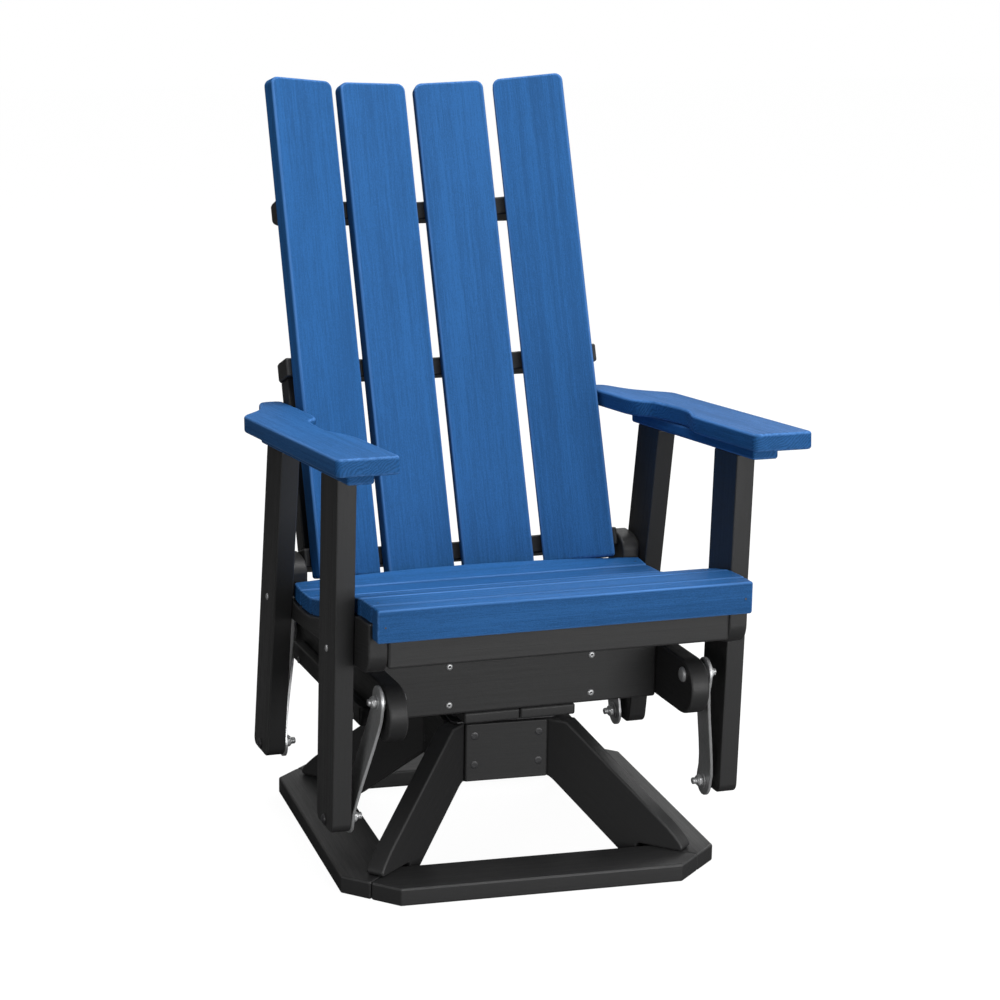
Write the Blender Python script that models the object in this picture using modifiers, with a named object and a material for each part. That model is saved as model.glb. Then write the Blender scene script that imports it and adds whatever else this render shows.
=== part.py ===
"""A swivel gliding lawn chair made of plastic lumber boards, in metres, +Z up, seat facing -Y.

The base is a ring of four boards with four braces that carry a hub and a swivel. Above it a glider
frame turns about Z, and the seat hangs from that frame on four steel links. Lengths are measured
from the swivel axis, which lies a little forward of the origin, the middle of the whole chair.
"""

import bmesh
import bpy
import math
from mathutils import Matrix, Vector

# Lumber, steel and fits
black_board = 0.031
blue_board = 0.028
board_width = 0.097
board_edge = 0.003
steel_edge = 0.0005
fit_gap = 0.0003
cut_overrun = 0.004
round_steps = 16

# Ring on the floor
base_turn = math.radians(-3.7)
ring_half_width = 0.308
ring_half_depth = 0.320
ring_clip = 0.078
ring_thickness = 0.0287

# Hub, and the braces that rise to it along the ring's diagonals
hub_reach = 0.098
hub_bottom = 0.115
hub_height = 0.097
brace_inner = 0.092
brace_under = 0.117
brace_foot_start = 0.227
brace_foot_end = 0.358
brace_reach = 0.364
brace_shoulder = 0.149
brace_toe = 0.338
brace_toe_height = 0.065
# The heel hooks down inside the ring's corner
brace_heel_bottom = 0.003
brace_heel_gap = 0.0014
# The toe's round end, from the top down: shares of its run out to the tip and of its height
toe_shares = ((0.40, 0.72), (0.75, 0.47), (0.94, 0.29), (1.0, 0.15), (0.93, 0.05))

# Swivel between the hub and the glider frame
plate_thickness = 0.003
lower_plate_size = 0.180
upper_plate_size = 0.190
plate_corner = 0.009
plate_bore = 0.045
race_inner = 0.050
race_outer = 0.070
race_height = 0.0105
race_steps = 32
mount_half_width = 0.095

# Glider frame
beam_face = 0.142
beam_bottom = 0.248
rail_setback = 0.0705
rail_top = 0.340
rail_height = 0.089
rail_reach = 0.290
side_bar_thickness = 0.019
side_bar_reach = 0.195
side_bar_bottom = 0.260
side_bar_height = 0.031

# Links: a trapezoid of four pivots on each side
top_pivot_reach = 0.252
top_pivot_height = 0.317
low_pivot_reach = 0.195
low_pivot_height = 0.115
strap_width = 0.050
strap_thickness = 0.005
strap_straight = 0.022
strap_top_gap = 0.0045
strap_low_gap = 0.0056
bolt_radius = 0.006
snug_hole_radius = 0.0063
open_hole_radius = 0.0082
bolt_head_radius = 0.0105
bolt_head_height = 0.0047
collar_radius = 0.0125
dome_share = 0.45
washer_radius = 0.017
washer_thickness = 0.002
nut_radius = 0.0095
nut_height = 0.008
top_bolt_tail = 0.005
low_bolt_tail = 0.0085

# Seat: the side rails carry slats along a dished line
seat_half_width = 0.305
leg_clearance = 0.0056
apron_front = 0.351
apron_bottom = 0.438
seat_front = 0.3205
seat_depth = 0.3925
seat_height = 0.4896
seat_drop = 0.0786
slat_gap = 0.005
# Seams from the front: shares of the seat's depth and of its drop
seam_shares = (
    (0.0, 0.0),
    (0.149, 0.038),
    (0.292, 0.187),
    (0.433, 0.380),
    (0.573, 0.596),
    (0.713, 0.812),
    (0.855, 0.966),
    (1.0, 1.0),
)
last_slat_depth = 0.041
last_slat_bulge = 0.027
last_slat_rise = 0.0055
last_slat_steps = 14
side_rail_front_bottom = 0.379
side_rail_back_bottom = 0.347
side_rail_nose = 0.024
ear_setback = 0.049
ear_shoulder = 0.432
ear_top = 0.4485
ear_ramp = 0.033
ear_length = 0.069
ear_corner = 0.004
cross_rail_bottom = 0.389
cross_rail_top = 0.457

# Legs: their front faces pass these places at leg_gauge_height and lean by these slopes
leg_gauge_height = 0.310
leg_bottom = 0.103
leg_corner = 0.009
leg_edge = 0.002
front_leg_face = -0.247
front_leg_slope = 0.041
front_leg_depth = 0.0889
rear_leg_face = 0.1144
rear_leg_slope = 0.177
rear_leg_depth = 0.0883

# Arms, laid along a line that falls to the rear
arm_front = 0.3864
arm_height = 0.7314
arm_slope = math.atan(0.077)
arm_width = 0.1078
arm_length = 0.7015
arm_corner = 0.008
# The inner edge with its hollow: shares of the arm's length, and of its width from the tail's edge
front_edge_share = 0.09
hollow_shares = (
    (0.300, 0.09),
    (0.345, 0.11),
    (0.390, 0.19),
    (0.430, 0.28),
    (0.480, 0.305),
    (0.540, 0.285),
    (0.600, 0.25),
    (0.632, 0.215),
    (0.650, 0.10),
    (0.672, 0.04),
    (0.720, 0.0),
)
# The outer edge's sweep to the narrow tail: shares of the length and of the width
sweep_shares = (
    (0.765, 1.0),
    (0.785, 0.943),
    (0.810, 0.827),
    (0.840, 0.693),
    (0.875, 0.568),
    (0.920, 0.480),
    (0.970, 0.417),
    (0.992, 0.360),
    (1.0, 0.260),
)
cleat_width = 0.043
cleat_thickness = 0.0205
cleat_front = 0.330
cleat_end = 0.165

# Back: four boards on three curved ribs, leaning back
recline = math.radians(21.0)
back_setback = 0.0913
back_foot_height = 0.397
back_inset = 0.0604
back_board_gap = 0.0157
back_board_start = 0.003
back_board_top = 0.8525
back_board_corner = 0.008
inner_board_turn = math.radians(7.8)
outer_board_turn = math.radians(18.25)
rib_back = 0.066
rib_corner = 0.030
lower_rib_place = 0.024
middle_rib_place = 0.345
upper_rib_place = 0.619
middle_rib_inset = 0.0018
upper_rib_inset = 0.043
post_inset = 0.0078
post_width = 0.030
post_front = 0.008
post_rear = 0.030

# Places that follow from the sizes above
brace_top = hub_bottom + hub_height
lower_plate_bottom = brace_top + fit_gap
race_bottom = lower_plate_bottom + plate_thickness + fit_gap
upper_plate_bottom = race_bottom + race_height + fit_gap
mount_bottom = upper_plate_bottom + plate_thickness + fit_gap
mount_top = beam_bottom - fit_gap
rail_inner = seat_half_width - rail_setback
rail_outer = rail_inner + black_board
leg_inner = seat_half_width + leg_clearance
leg_outer = leg_inner + black_board
side_rail_outer = leg_inner - fit_gap
back_board_width = (seat_half_width - back_inset) / 2
upper_rib_half_length = seat_half_width - upper_rib_inset
side_rail_inner = side_rail_outer - black_board
post_face = side_rail_inner - post_inset
seat_rear = seat_depth - seat_front
last_slat_edge = seat_rear + last_slat_depth
ear_front = seat_rear + ear_setback
ear_crown = ear_front + ear_ramp
side_rail_end = ear_front + ear_length
back_foot = seat_rear + back_setback
link_run = top_pivot_reach - low_pivot_reach
link_drop = top_pivot_height - low_pivot_height
link_length = math.hypot(link_run, link_drop)
link_lean = math.atan2(link_run, link_drop)
strap_top_inner = rail_outer + strap_top_gap
strap_low_outer = leg_inner - strap_low_gap
arm_inner = post_face + fit_gap
back_up = Vector((0, math.sin(recline), math.cos(recline)))
back_out = Vector((0, -math.cos(recline), math.sin(recline)))
arm_tip = arm_front + (blue_board - board_edge) * math.sin(arm_slope)
top_corner = back_board_corner + board_edge * math.tan(math.pi / 8)
rear_depth = blue_board * math.cos(inner_board_turn) - top_corner * math.sin(inner_board_turn)
back_rear = back_foot + (back_board_top - board_edge) * back_up.y - rear_depth * back_out.y
swivel_place = (arm_tip - back_rear) / 2

X_AXIS = Vector((1, 0, 0))
Y_AXIS = Vector((0, 1, 0))
Z_AXIS = Vector((0, 0, 1))


def clear_scene():
    for old in list(bpy.data.objects):
        bpy.data.objects.remove(old)


def new_collection(name, hidden=False):
    collection = bpy.data.collections.new(name)
    bpy.context.scene.collection.children.link(collection)
    collection.hide_render = hidden
    return collection


def surface(name, color, roughness, metallic):
    material = bpy.data.materials.new(name)
    material.use_nodes = True
    shader = material.node_tree.nodes["Principled BSDF"]
    shader.inputs["Base Color"].default_value = (*color, 1)
    shader.inputs["Roughness"].default_value = roughness
    shader.inputs["Metallic"].default_value = metallic
    material.diffuse_color = (*color, 1)
    return material


def new_frame(collection, name, place, turn=0):
    empty = bpy.data.objects.new(name, None)
    collection.objects.link(empty)
    empty.location = place
    empty.rotation_euler.z = turn
    return empty


# Outlines, as lists of points in a board's own plane


def rectangle(left, right, low, high):
    return [(left, low), (right, low), (right, high), (left, high)]


def circle(center, radius, steps):
    turn = 2 * math.pi / steps
    return [
        (center[0] + radius * math.cos(turn * step), center[1] + radius * math.sin(turn * step))
        for step in range(steps)
    ]


def arc(center, radius, start, end, steps):
    return [
        (
            center[0] + radius * math.cos(start + (end - start) * step / steps),
            center[1] + radius * math.sin(start + (end - start) * step / steps),
        )
        for step in range(steps + 1)
    ]


def stadium(reach, middle, height, steps):
    """A bar with full round ends, lying along the first axis."""
    radius = height / 2
    right = arc((reach - radius, middle), radius, -math.pi / 2, math.pi / 2, steps)
    left = arc((radius - reach, middle), radius, math.pi / 2, 3 * math.pi / 2, steps)
    return right + left


def clip_corners(points, chosen, cut):
    """The outline with the chosen corners cut off, each by the same length along both sides."""
    result = []
    for index, point in enumerate(points):
        if index not in chosen:
            result.append(point)
            continue
        here = Vector(point)
        before = Vector(points[index - 1])
        after = Vector(points[(index + 1) % len(points)])
        result.append(tuple(here + (before - here).normalized() * cut))
        result.append(tuple(here + (after - here).normalized() * cut))
    return result


def offset_line(points, distance):
    """The open line moved sideways, to the right of its direction, with its corners kept sharp."""
    normals = []
    for start, end in zip(points, points[1:]):
        along = (Vector(end) - Vector(start)).normalized()
        normals.append(Vector((along.y, -along.x)))
    moved = [Vector(points[0]) + normals[0] * distance]
    for point, first, second in zip(points[1:], normals, normals[1:]):
        moved.append(Vector(point) + (first + second) * (distance / (1 + first.dot(second))))
    moved.append(Vector(points[-1]) + normals[-1] * distance)
    return moved


# Solids


def basis(first, second, place):
    """The matrix of an object whose own X and Y run along these directions from this place."""
    third = first.cross(second)
    matrix = Matrix((first, second, third)).transposed().to_4x4()
    matrix.translation = place
    return matrix


def put(item, collection, frame, matrix, material):
    """Hangs the object on the frame, with the matrix measured from the swivel axis at the floor."""
    collection.objects.link(item)
    if frame is not None:
        item.parent = frame
        item.matrix_parent_inverse = Matrix.Translation(-Vector(frame["from_axis"]))
    item.matrix_basis = matrix
    if material is not None:
        item.data.materials.append(material)
    return item


def slab_curve(name, outlines, thickness, edge):
    curve = bpy.data.curves.new(name, "CURVE")
    curve.dimensions = "2D"
    curve.fill_mode = "BOTH"
    curve.extrude = thickness / 2 - edge
    curve.bevel_depth = edge
    curve.bevel_resolution = 0
    curve.offset = -edge
    for outline in outlines:
        spline = curve.splines.new("POLY")
        spline.points.add(len(outline) - 1)
        for point, (across, along) in zip(spline.points, outline):
            point.co = (across, along, 0, 1)
        spline.use_cyclic_u = True
    return bpy.data.objects.new(name, curve)


def slab(kit, name, outline, thickness, matrix, material, holes=(), edge=board_edge):
    """A flat board: its outline, with any holes, spread evenly to both sides of its plane."""
    item = slab_curve(name, [outline, *holes], thickness, edge)
    return put(item, kit["parts"], kit["frame"], matrix, material)


def slab_mesh(kit, name, outline, thickness, matrix):
    """A sharp slab as a welded mesh, for cutting and joining."""
    source = slab_curve(name + "_outline", [outline], thickness, 0)
    kit["cutters"].objects.link(source)
    bpy.context.view_layer.update()
    evaluated = source.evaluated_get(bpy.context.evaluated_depsgraph_get())
    mesh = bpy.data.meshes.new_from_object(evaluated)
    bpy.data.objects.remove(source)
    shape = bmesh.new()
    shape.from_mesh(mesh)
    bmesh.ops.remove_doubles(shape, verts=shape.verts, dist=fit_gap / 10)
    bmesh.ops.recalc_face_normals(shape, faces=shape.faces)
    bmesh.ops.transform(shape, matrix=matrix, verts=shape.verts)
    if matrix.determinant() < 0:
        bmesh.ops.reverse_faces(shape, faces=shape.faces)
    shape.to_mesh(mesh)
    shape.free()
    return bpy.data.objects.new(name, mesh)


def turned(name, profile, steps):
    """A turned piece about its own Z, from (radius, height) points listed from top to bottom."""
    mesh = bpy.data.meshes.new(name)
    points = [(radius, 0, height) for radius, height in profile]
    edges = [(index, index + 1) for index in range(len(points) - 1)]
    mesh.from_pydata(points, edges, [])
    item = bpy.data.objects.new(name, mesh)
    screw = item.modifiers.new("turn", "SCREW")
    screw.steps = steps
    screw.render_steps = steps
    screw.use_merge_vertices = True
    screw.merge_threshold = fit_gap / 10
    screw.use_smooth_shade = False
    return item


def hide_cutter(kit, item):
    kit["cutters"].objects.link(item)
    item.hide_render = True
    item.display_type = "WIRE"


def add_boolean(item, other, operation):
    boolean = item.modifiers.new(other.name, "BOOLEAN")
    boolean.operation = operation
    boolean.solver = "EXACT"
    boolean.object = other


def along_x(side, place):
    """The matrix that lays a turned piece's axis along X, with its top toward that side."""
    matrix = Matrix.Rotation(side * math.pi / 2, 4, "Y")
    matrix.translation = place
    return matrix


# Base


def ring_board_outline(half_length, half_reach):
    """One mitred board at the negative side of its second axis."""
    slip = fit_gap / math.sqrt(2)
    inner = half_length - board_width - slip
    middle = half_length - ring_clip / 2 - slip
    outer = half_length - ring_clip
    near = -(half_reach - board_width)
    clip = -(half_reach - ring_clip / 2)
    return [
        (-inner, near),
        (-middle, clip),
        (-outer, -half_reach),
        (outer, -half_reach),
        (middle, clip),
        (inner, near),
    ]


def add_ring(kit, material):
    level = ring_thickness / 2
    width = ring_half_width
    depth = ring_half_depth
    boards = (
        ("ring_front", 0, width, depth),
        ("ring_right", 1, depth, width),
        ("ring_rear", 2, width, depth),
        ("ring_left", 3, depth, width),
    )
    for name, quarter, half_length, half_reach in boards:
        outline = ring_board_outline(half_length, half_reach)
        matrix = Matrix.Rotation(quarter * math.pi / 2, 4, "Z")
        matrix.translation = (0, 0, level)
        slab(kit, name, outline, ring_thickness, matrix, material)


def brace_outline():
    foot = ring_thickness + fit_gap
    toe_run = brace_reach - brace_toe
    toe_drop = brace_toe_height - foot
    toe = [(brace_toe + toe_run * out, foot + toe_drop * up) for out, up in toe_shares]
    under_slope = (brace_foot_start - brace_under) / (hub_bottom - foot)
    heel_start = brace_foot_start + (foot - brace_heel_bottom) * under_slope
    ring_corner = (ring_half_width - board_width) * math.sqrt(2)
    heel_end = ring_corner - black_board / 2 - brace_heel_gap
    return [
        (brace_inner, hub_bottom),
        (brace_inner, brace_top),
        (brace_shoulder, brace_top),
        (brace_toe, brace_toe_height),
        *toe,
        (brace_foot_end, foot),
        (heel_end, foot),
        (heel_end, brace_heel_bottom),
        (heel_start, brace_heel_bottom),
        (brace_under, hub_bottom),
    ]


def add_braces(kit, material):
    corners = (("front_right", -1), ("rear_right", 1), ("rear_left", 3), ("front_left", 5))
    for corner, eighths in corners:
        angle = eighths * math.pi / 4
        outward = Vector((math.cos(angle), math.sin(angle), 0))
        matrix = basis(outward, Z_AXIS, (0, 0, 0))
        slab(kit, "brace_" + corner, brace_outline(), black_board, matrix, material)


def add_hub(kit, material):
    brace_offset = (black_board / 2 + fit_gap) * math.sqrt(2)
    outer = hub_reach - brace_offset
    inner = outer - black_board
    near = black_board - hub_reach
    outline = [(-inner, near), (-outer, -hub_reach), (outer, -hub_reach), (inner, near)]
    for quarter, name in enumerate(("front", "right", "rear", "left")):
        matrix = Matrix.Rotation(quarter * math.pi / 2, 4, "Z")
        matrix.translation = (0, 0, hub_bottom + hub_height / 2)
        slab(kit, "hub_" + name, outline, hub_height, matrix, material, edge=board_edge / 2)


def steel_plate(kit, name, size, bottom, material):
    half = size / 2
    outline = clip_corners(rectangle(-half, half, -half, half), range(4), plate_corner)
    hole = circle((0, 0), plate_bore, race_steps)
    matrix = Matrix.Translation((0, 0, bottom + plate_thickness / 2))
    slab(kit, name, outline, plate_thickness, matrix, material, holes=[hole], edge=steel_edge)


def add_race(kit, material):
    profile = [
        (race_outer - steel_edge, race_height),
        (race_outer, race_height - steel_edge),
        (race_outer, steel_edge),
        (race_outer - steel_edge, 0),
        (race_inner, 0),
        (race_inner, race_height),
        (race_outer - steel_edge, race_height),
    ]
    item = turned("swivel_bearing", profile, race_steps)
    put(item, kit["parts"], kit["frame"], Matrix.Translation((0, 0, race_bottom)), material)


# Glider frame


def add_mount_boards(kit, material):
    height = mount_top - mount_bottom
    gap = fit_gap / 2
    for side, name in ((-1, "left"), (1, "right")):
        outline = rectangle(gap, mount_half_width, -beam_face, beam_face)
        outline = [(side * across, along) for across, along in outline]
        matrix = Matrix.Translation((0, 0, mount_bottom + height / 2))
        slab(kit, "mount_board_" + name, outline, height, matrix, material)


def add_beams(kit, material):
    half = rail_inner - fit_gap
    outline = rectangle(-half, half, beam_bottom, rail_top)
    for side, name in ((-1, "front"), (1, "rear")):
        matrix = basis(X_AXIS, Z_AXIS, (0, side * (beam_face - black_board / 2), 0))
        slab(kit, "beam_" + name, outline, black_board, matrix, material)


def add_glide_rails(kit, material):
    middle = rail_top - rail_height / 2
    outline = stadium(rail_reach, middle, rail_height, round_steps // 2)
    holes = [
        circle((side * top_pivot_reach, top_pivot_height), snug_hole_radius, round_steps)
        for side in (-1, 1)
    ]
    bar_low = side_bar_bottom
    bar = rectangle(-side_bar_reach, side_bar_reach, bar_low, bar_low + side_bar_height)
    bar = clip_corners(bar, range(4), board_edge)
    for side, name in ((-1, "left"), (1, "right")):
        matrix = basis(Y_AXIS, Z_AXIS, (side * (rail_inner + black_board / 2), 0, 0))
        slab(kit, "glide_rail_" + name, outline, black_board, matrix, material, holes=holes)
        across = side * (rail_outer + fit_gap + side_bar_thickness / 2)
        matrix = basis(Y_AXIS, Z_AXIS, (across, 0, 0))
        slab(kit, "side_bar_" + name, bar, side_bar_thickness, matrix, material)


# Links and their bolts


def top_stud_profile():
    """The pivot bolt that turns with its link, from its outboard tip to its head inside the rail."""
    washer_face = strap_top_inner + strap_thickness + washer_thickness
    nut_face = washer_face + nut_height
    tip = nut_face + top_bolt_tail
    collar = rail_outer + fit_gap
    head = rail_inner - fit_gap
    return [
        (0, tip),
        (bolt_radius, tip),
        (bolt_radius, nut_face),
        (nut_radius, nut_face),
        (nut_radius, washer_face),
        (washer_radius, washer_face),
        (washer_radius, collar),
        (bolt_radius, collar),
        (bolt_radius, head),
        (collar_radius, head),
        (collar_radius, head - bolt_head_height),
        (0, head - bolt_head_height),
    ]


def low_bolt_profile():
    """The pivot bolt that is held in a leg, from its domed head to its tip inside the link."""
    head = leg_outer + fit_gap
    dome = head + bolt_head_height
    collar = leg_inner - fit_gap
    strap_face = strap_low_outer + fit_gap
    washer = strap_low_outer - strap_thickness - fit_gap
    nut = washer - washer_thickness
    tail = nut - nut_height
    tip = tail - low_bolt_tail
    return [
        (0, dome),
        (bolt_head_radius * (1 - dome_share), dome - bolt_head_height * dome_share / 4),
        (bolt_head_radius, head + bolt_head_height * dome_share),
        (bolt_head_radius, head),
        (bolt_radius, head),
        (bolt_radius, collar),
        (collar_radius, collar),
        (collar_radius, strap_face),
        (bolt_radius, strap_face),
        (bolt_radius, washer),
        (washer_radius, washer),
        (washer_radius, nut),
        (nut_radius, nut),
        (nut_radius, tail),
        (bolt_radius, tail),
        (bolt_radius, tip),
        (0, tip),
    ]


def strap_profile(side):
    """The strap seen edge on: straight at both ends, with a jog between the two planes."""
    top = strap_top_inner
    low = strap_low_outer - strap_thickness
    above = strap_width / 2 + cut_overrun
    below = -(link_length + above)
    jog_end = strap_straight - link_length
    inner = [(top, above), (top, -strap_straight), (low, jog_end), (low, below)]
    outer = [(across + strap_thickness, up) for across, up in reversed(inner)]
    return [(side * across, up) for across, up in inner + outer]


def eye_line(steps):
    """The strap seen from the side: a bar with round ends about its two pivots."""
    radius = strap_width / 2
    top = arc((0, 0), radius, 0, math.pi, steps)
    low = arc((0, -link_length), radius, math.pi, 2 * math.pi, steps)
    return top + low


def add_link(kit, name, side, end, hole_radius, material):
    middle = side * (strap_top_inner + strap_low_outer) / 2
    span = (leg_inner - rail_outer) * 2
    plane = basis(Y_AXIS, Z_AXIS, (middle, 0, 0))
    strap = slab_mesh(kit, name, eye_line(round_steps // 2), span, plane)
    edge_on = basis(X_AXIS, Z_AXIS, (0, 0, 0))
    bend = slab_mesh(kit, name + "_bend", strap_profile(side), strap_width * 2, edge_on)
    stud = turned(name + "_stud", top_stud_profile(), round_steps)
    stud.matrix_basis = along_x(side, (0, 0, 0))
    drill = turned(name + "_drill", drill_profile(hole_radius), round_steps)
    drill.matrix_basis = along_x(side, (0, 0, -link_length))
    lean = Matrix.Rotation(-end * link_lean, 4, "X")
    lean.translation = (0, end * top_pivot_reach, top_pivot_height)
    put(strap, kit["parts"], kit["frame"], lean, material)
    for helper, operation in ((bend, "INTERSECT"), (drill, "DIFFERENCE"), (stud, "UNION")):
        hide_cutter(kit, helper)
        helper.parent = strap
        add_boolean(strap, helper, operation)


def drill_profile(radius):
    high = leg_inner + cut_overrun
    low = rail_outer
    return [(0, high), (radius, high), (radius, low), (0, low)]


def add_links(kit, material):
    corners = (
        ("front_left", -1, -1),
        ("front_right", 1, -1),
        ("rear_left", -1, 1),
        ("rear_right", 1, 1),
    )
    for corner, side, end in corners:
        driver = corner == "front_left"
        radius = snug_hole_radius if driver else open_hole_radius
        add_link(kit, "link_" + corner, side, end, radius, material)


def add_leg_bolts(kit, material):
    for end, end_name in ((-1, "front"), (1, "rear")):
        for side, side_name in ((-1, "left"), (1, "right")):
            name = "leg_bolt_" + end_name + "_" + side_name
            item = turned(name, low_bolt_profile(), round_steps)
            matrix = along_x(side, (0, end * low_pivot_reach, low_pivot_height))
            put(item, kit["parts"], kit["frame"], matrix, material)


# Seat


def seam_line():
    """The seat's top line at the seams, from the front to the last slat's rear edge."""
    line = [
        (seat_depth * depth_share - seat_front, seat_height - seat_drop * drop_share)
        for depth_share, drop_share in seam_shares
    ]
    rear = last_slat_edge + last_slat_bulge
    line.append((rear, line[-1][1] + last_slat_rise))
    return line


def add_slats(kit, material):
    seams = [Vector((0, *point)) for point in seam_line()]
    pairs = list(zip(seams, seams[1:]))
    for number, (start, end) in enumerate(pairs[:-1], 1):
        length = (end - start).length
        along = (end - start).normalized()
        gap = slat_gap / 2
        outline = rectangle(-seat_half_width, seat_half_width, gap, length - gap)
        place = start - X_AXIS.cross(along) * (blue_board / 2)
        matrix = basis(X_AXIS, along, place)
        slab(kit, "slat_" + str(number), outline, blue_board, matrix, material)
    add_last_slat(kit, *pairs[-1], material)


def add_last_slat(kit, start, end, material):
    """The rear slat, whose back edge bulges toward the concave back."""
    along = (end - start).normalized()
    edge = (last_slat_edge - start.y) / along.y
    rear = [(seat_half_width, edge)]
    for step in range(1, last_slat_steps):
        share = 1 - 2 * step / last_slat_steps
        rear.append((seat_half_width * share, edge + last_slat_bulge * (1 - share * share)))
    rear.append((-seat_half_width, edge))
    front = slat_gap / 2
    outline = [(-seat_half_width, front), (seat_half_width, front), *rear]
    place = start - X_AXIS.cross(along) * (blue_board / 2)
    matrix = basis(X_AXIS, along, place)
    slab(kit, "slat_8", outline, blue_board, matrix, material)


def side_rail_outline():
    under = offset_line(seam_line(), blue_board + fit_gap)
    front = fit_gap + blue_board - apron_front
    slope = (under[1].y - under[0].y) / (under[1].x - under[0].x)
    top = [(front, under[0].y + slope * (front - under[0].x))]
    top += [tuple(point) for point in under[1:-1]]
    rise = (under[-1].y - under[-2].y) / (under[-1].x - under[-2].x)
    top.append((ear_front, under[-2].y + rise * (ear_front - under[-2].x)))
    ear = [
        (ear_front, ear_shoulder),
        ((ear_front * 2 + ear_crown) / 3, (ear_shoulder + ear_top * 2) / 3),
        (ear_crown, ear_top),
        (side_rail_end - ear_corner, ear_top),
        (side_rail_end, ear_top - ear_corner),
    ]
    nose = [
        (front + side_rail_nose, side_rail_front_bottom),
        (front + side_rail_nose / 3, side_rail_front_bottom + side_rail_nose / 3),
        (front, side_rail_front_bottom + side_rail_nose),
    ]
    return [*top, *ear, (side_rail_end, side_rail_back_bottom), *nose]


def add_side_rails(kit, material):
    outline = side_rail_outline()
    for side, name in ((-1, "left"), (1, "right")):
        matrix = basis(Y_AXIS, Z_AXIS, (side * (side_rail_inner + side_rail_outer) / 2, 0, 0))
        slab(kit, "side_rail_" + name, outline, black_board, matrix, material)


def add_front_boards(kit, black, blue):
    back_face = blue_board - apron_front
    outline = rectangle(-seat_half_width, seat_half_width, apron_bottom, seat_height)
    matrix = basis(X_AXIS, Z_AXIS, (0, back_face - blue_board / 2, 0))
    slab(kit, "apron", outline, blue_board, matrix, blue)
    half = side_rail_inner - fit_gap
    outline = rectangle(-half, half, cross_rail_bottom, cross_rail_top)
    matrix = basis(X_AXIS, Z_AXIS, (0, back_face + fit_gap + black_board / 2, 0))
    slab(kit, "front_cross_rail", outline, black_board, matrix, black)


# Legs and arms


def arm_level(along):
    """The height of the arm's top face at this place along Y."""
    return arm_height - math.tan(arm_slope) * (along + arm_front)


def leg_outline(face, slope, depth):
    """A leg seen from the side, cut off below along the floor and above along the arm."""
    drop = (blue_board + cleat_thickness + 2 * fit_gap) / math.cos(arm_slope)
    low = face + slope * (leg_gauge_height - leg_bottom)
    corners = [(low, leg_bottom), (low + depth, leg_bottom)]
    for shift in (depth, 0):
        # The face line meets the line under the arm where the two heights agree
        fall = math.tan(arm_slope)
        start = face + shift + slope * leg_gauge_height
        height = (arm_level(start) - drop) / (1 - fall * slope)
        corners.append((start - slope * height, height))
    return clip_corners(corners, (0, 1), leg_corner)


def add_legs(kit, material):
    ends = (
        ("front", -1, front_leg_face, front_leg_slope, front_leg_depth),
        ("rear", 1, rear_leg_face, rear_leg_slope, rear_leg_depth),
    )
    for end_name, end, face, slope, depth in ends:
        outline = leg_outline(face, slope, depth)
        hole = circle((end * low_pivot_reach, low_pivot_height), snug_hole_radius, round_steps)
        for side, side_name in ((-1, "left"), (1, "right")):
            matrix = basis(Y_AXIS, Z_AXIS, (side * (leg_inner + leg_outer) / 2, 0, 0))
            name = "leg_" + end_name + "_" + side_name
            slab(kit, name, outline, black_board, matrix, material, [hole], leg_edge)


def arm_outline(side):
    hollow = [(arm_inner + arm_width * across, arm_length * along) for along, across in hollow_shares]
    sweep = [(arm_inner + arm_width * across, arm_length * along) for along, across in sweep_shares]
    front_inner = arm_inner + arm_width * front_edge_share
    outer = arm_inner + arm_width
    outline = [
        (arm_inner, arm_length - arm_corner),
        *reversed(hollow),
        (front_inner, arm_corner),
        (front_inner + arm_corner / 3, arm_corner / 3),
        (front_inner + arm_corner, 0),
        (outer - arm_corner, 0),
        (outer - arm_corner / 3, arm_corner / 3),
        (outer, arm_corner),
        *sweep,
        (arm_inner + arm_corner, arm_length),
    ]
    return [(side * across, along) for across, along in outline]


def add_arms(kit, material):
    along = Vector((0, math.cos(arm_slope), -math.sin(arm_slope)))
    up = X_AXIS.cross(along)
    front = Vector((0, -arm_front, arm_height))
    middle = (leg_inner + leg_outer) / 2
    cleat_low = (arm_front - cleat_front) / along.y
    cleat_high = (arm_front + cleat_end) / along.y
    for side, name in ((-1, "left"), (1, "right")):
        matrix = basis(X_AXIS, along, front - up * (blue_board / 2))
        slab(kit, "arm_" + name, arm_outline(side), blue_board, matrix, material)
        outline = rectangle(middle - cleat_width / 2, middle + cleat_width / 2, cleat_low, cleat_high)
        outline = [(side * across, reach) for across, reach in outline]
        matrix = basis(X_AXIS, along, front - up * (blue_board + fit_gap + cleat_thickness / 2))
        slab(kit, "arm_cleat_" + name, outline, cleat_thickness, matrix, material)


# Back


def board_corners():
    """The front corners of the right inner and right outer board, across the back and toward the front."""
    inner_start = Vector((back_board_gap / 2, 0))
    inner_along = Vector((math.cos(inner_board_turn), math.sin(inner_board_turn)))
    outer_along = Vector((math.cos(outer_board_turn), math.sin(outer_board_turn)))
    middle = (inner_board_turn + outer_board_turn) / 2
    gap = Vector((math.cos(middle), math.sin(middle))) * back_board_gap
    outer_start = inner_start + inner_along * back_board_width + gap
    return (inner_start, inner_along), (outer_start, outer_along)


def back_place(across, toward_front, up):
    foot = Vector((0, back_foot, back_foot_height))
    return foot + X_AXIS * across + back_out * toward_front + back_up * up


def rear_of_boards(across):
    """How far toward the front the boards' rear faces lie at this distance from the middle."""
    depths = []
    for start, along in board_corners():
        rear = start.y - (blue_board + fit_gap) / along.x
        depths.append(rear + (across - start.x) * along.y / along.x)
    return max(depths)


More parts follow.
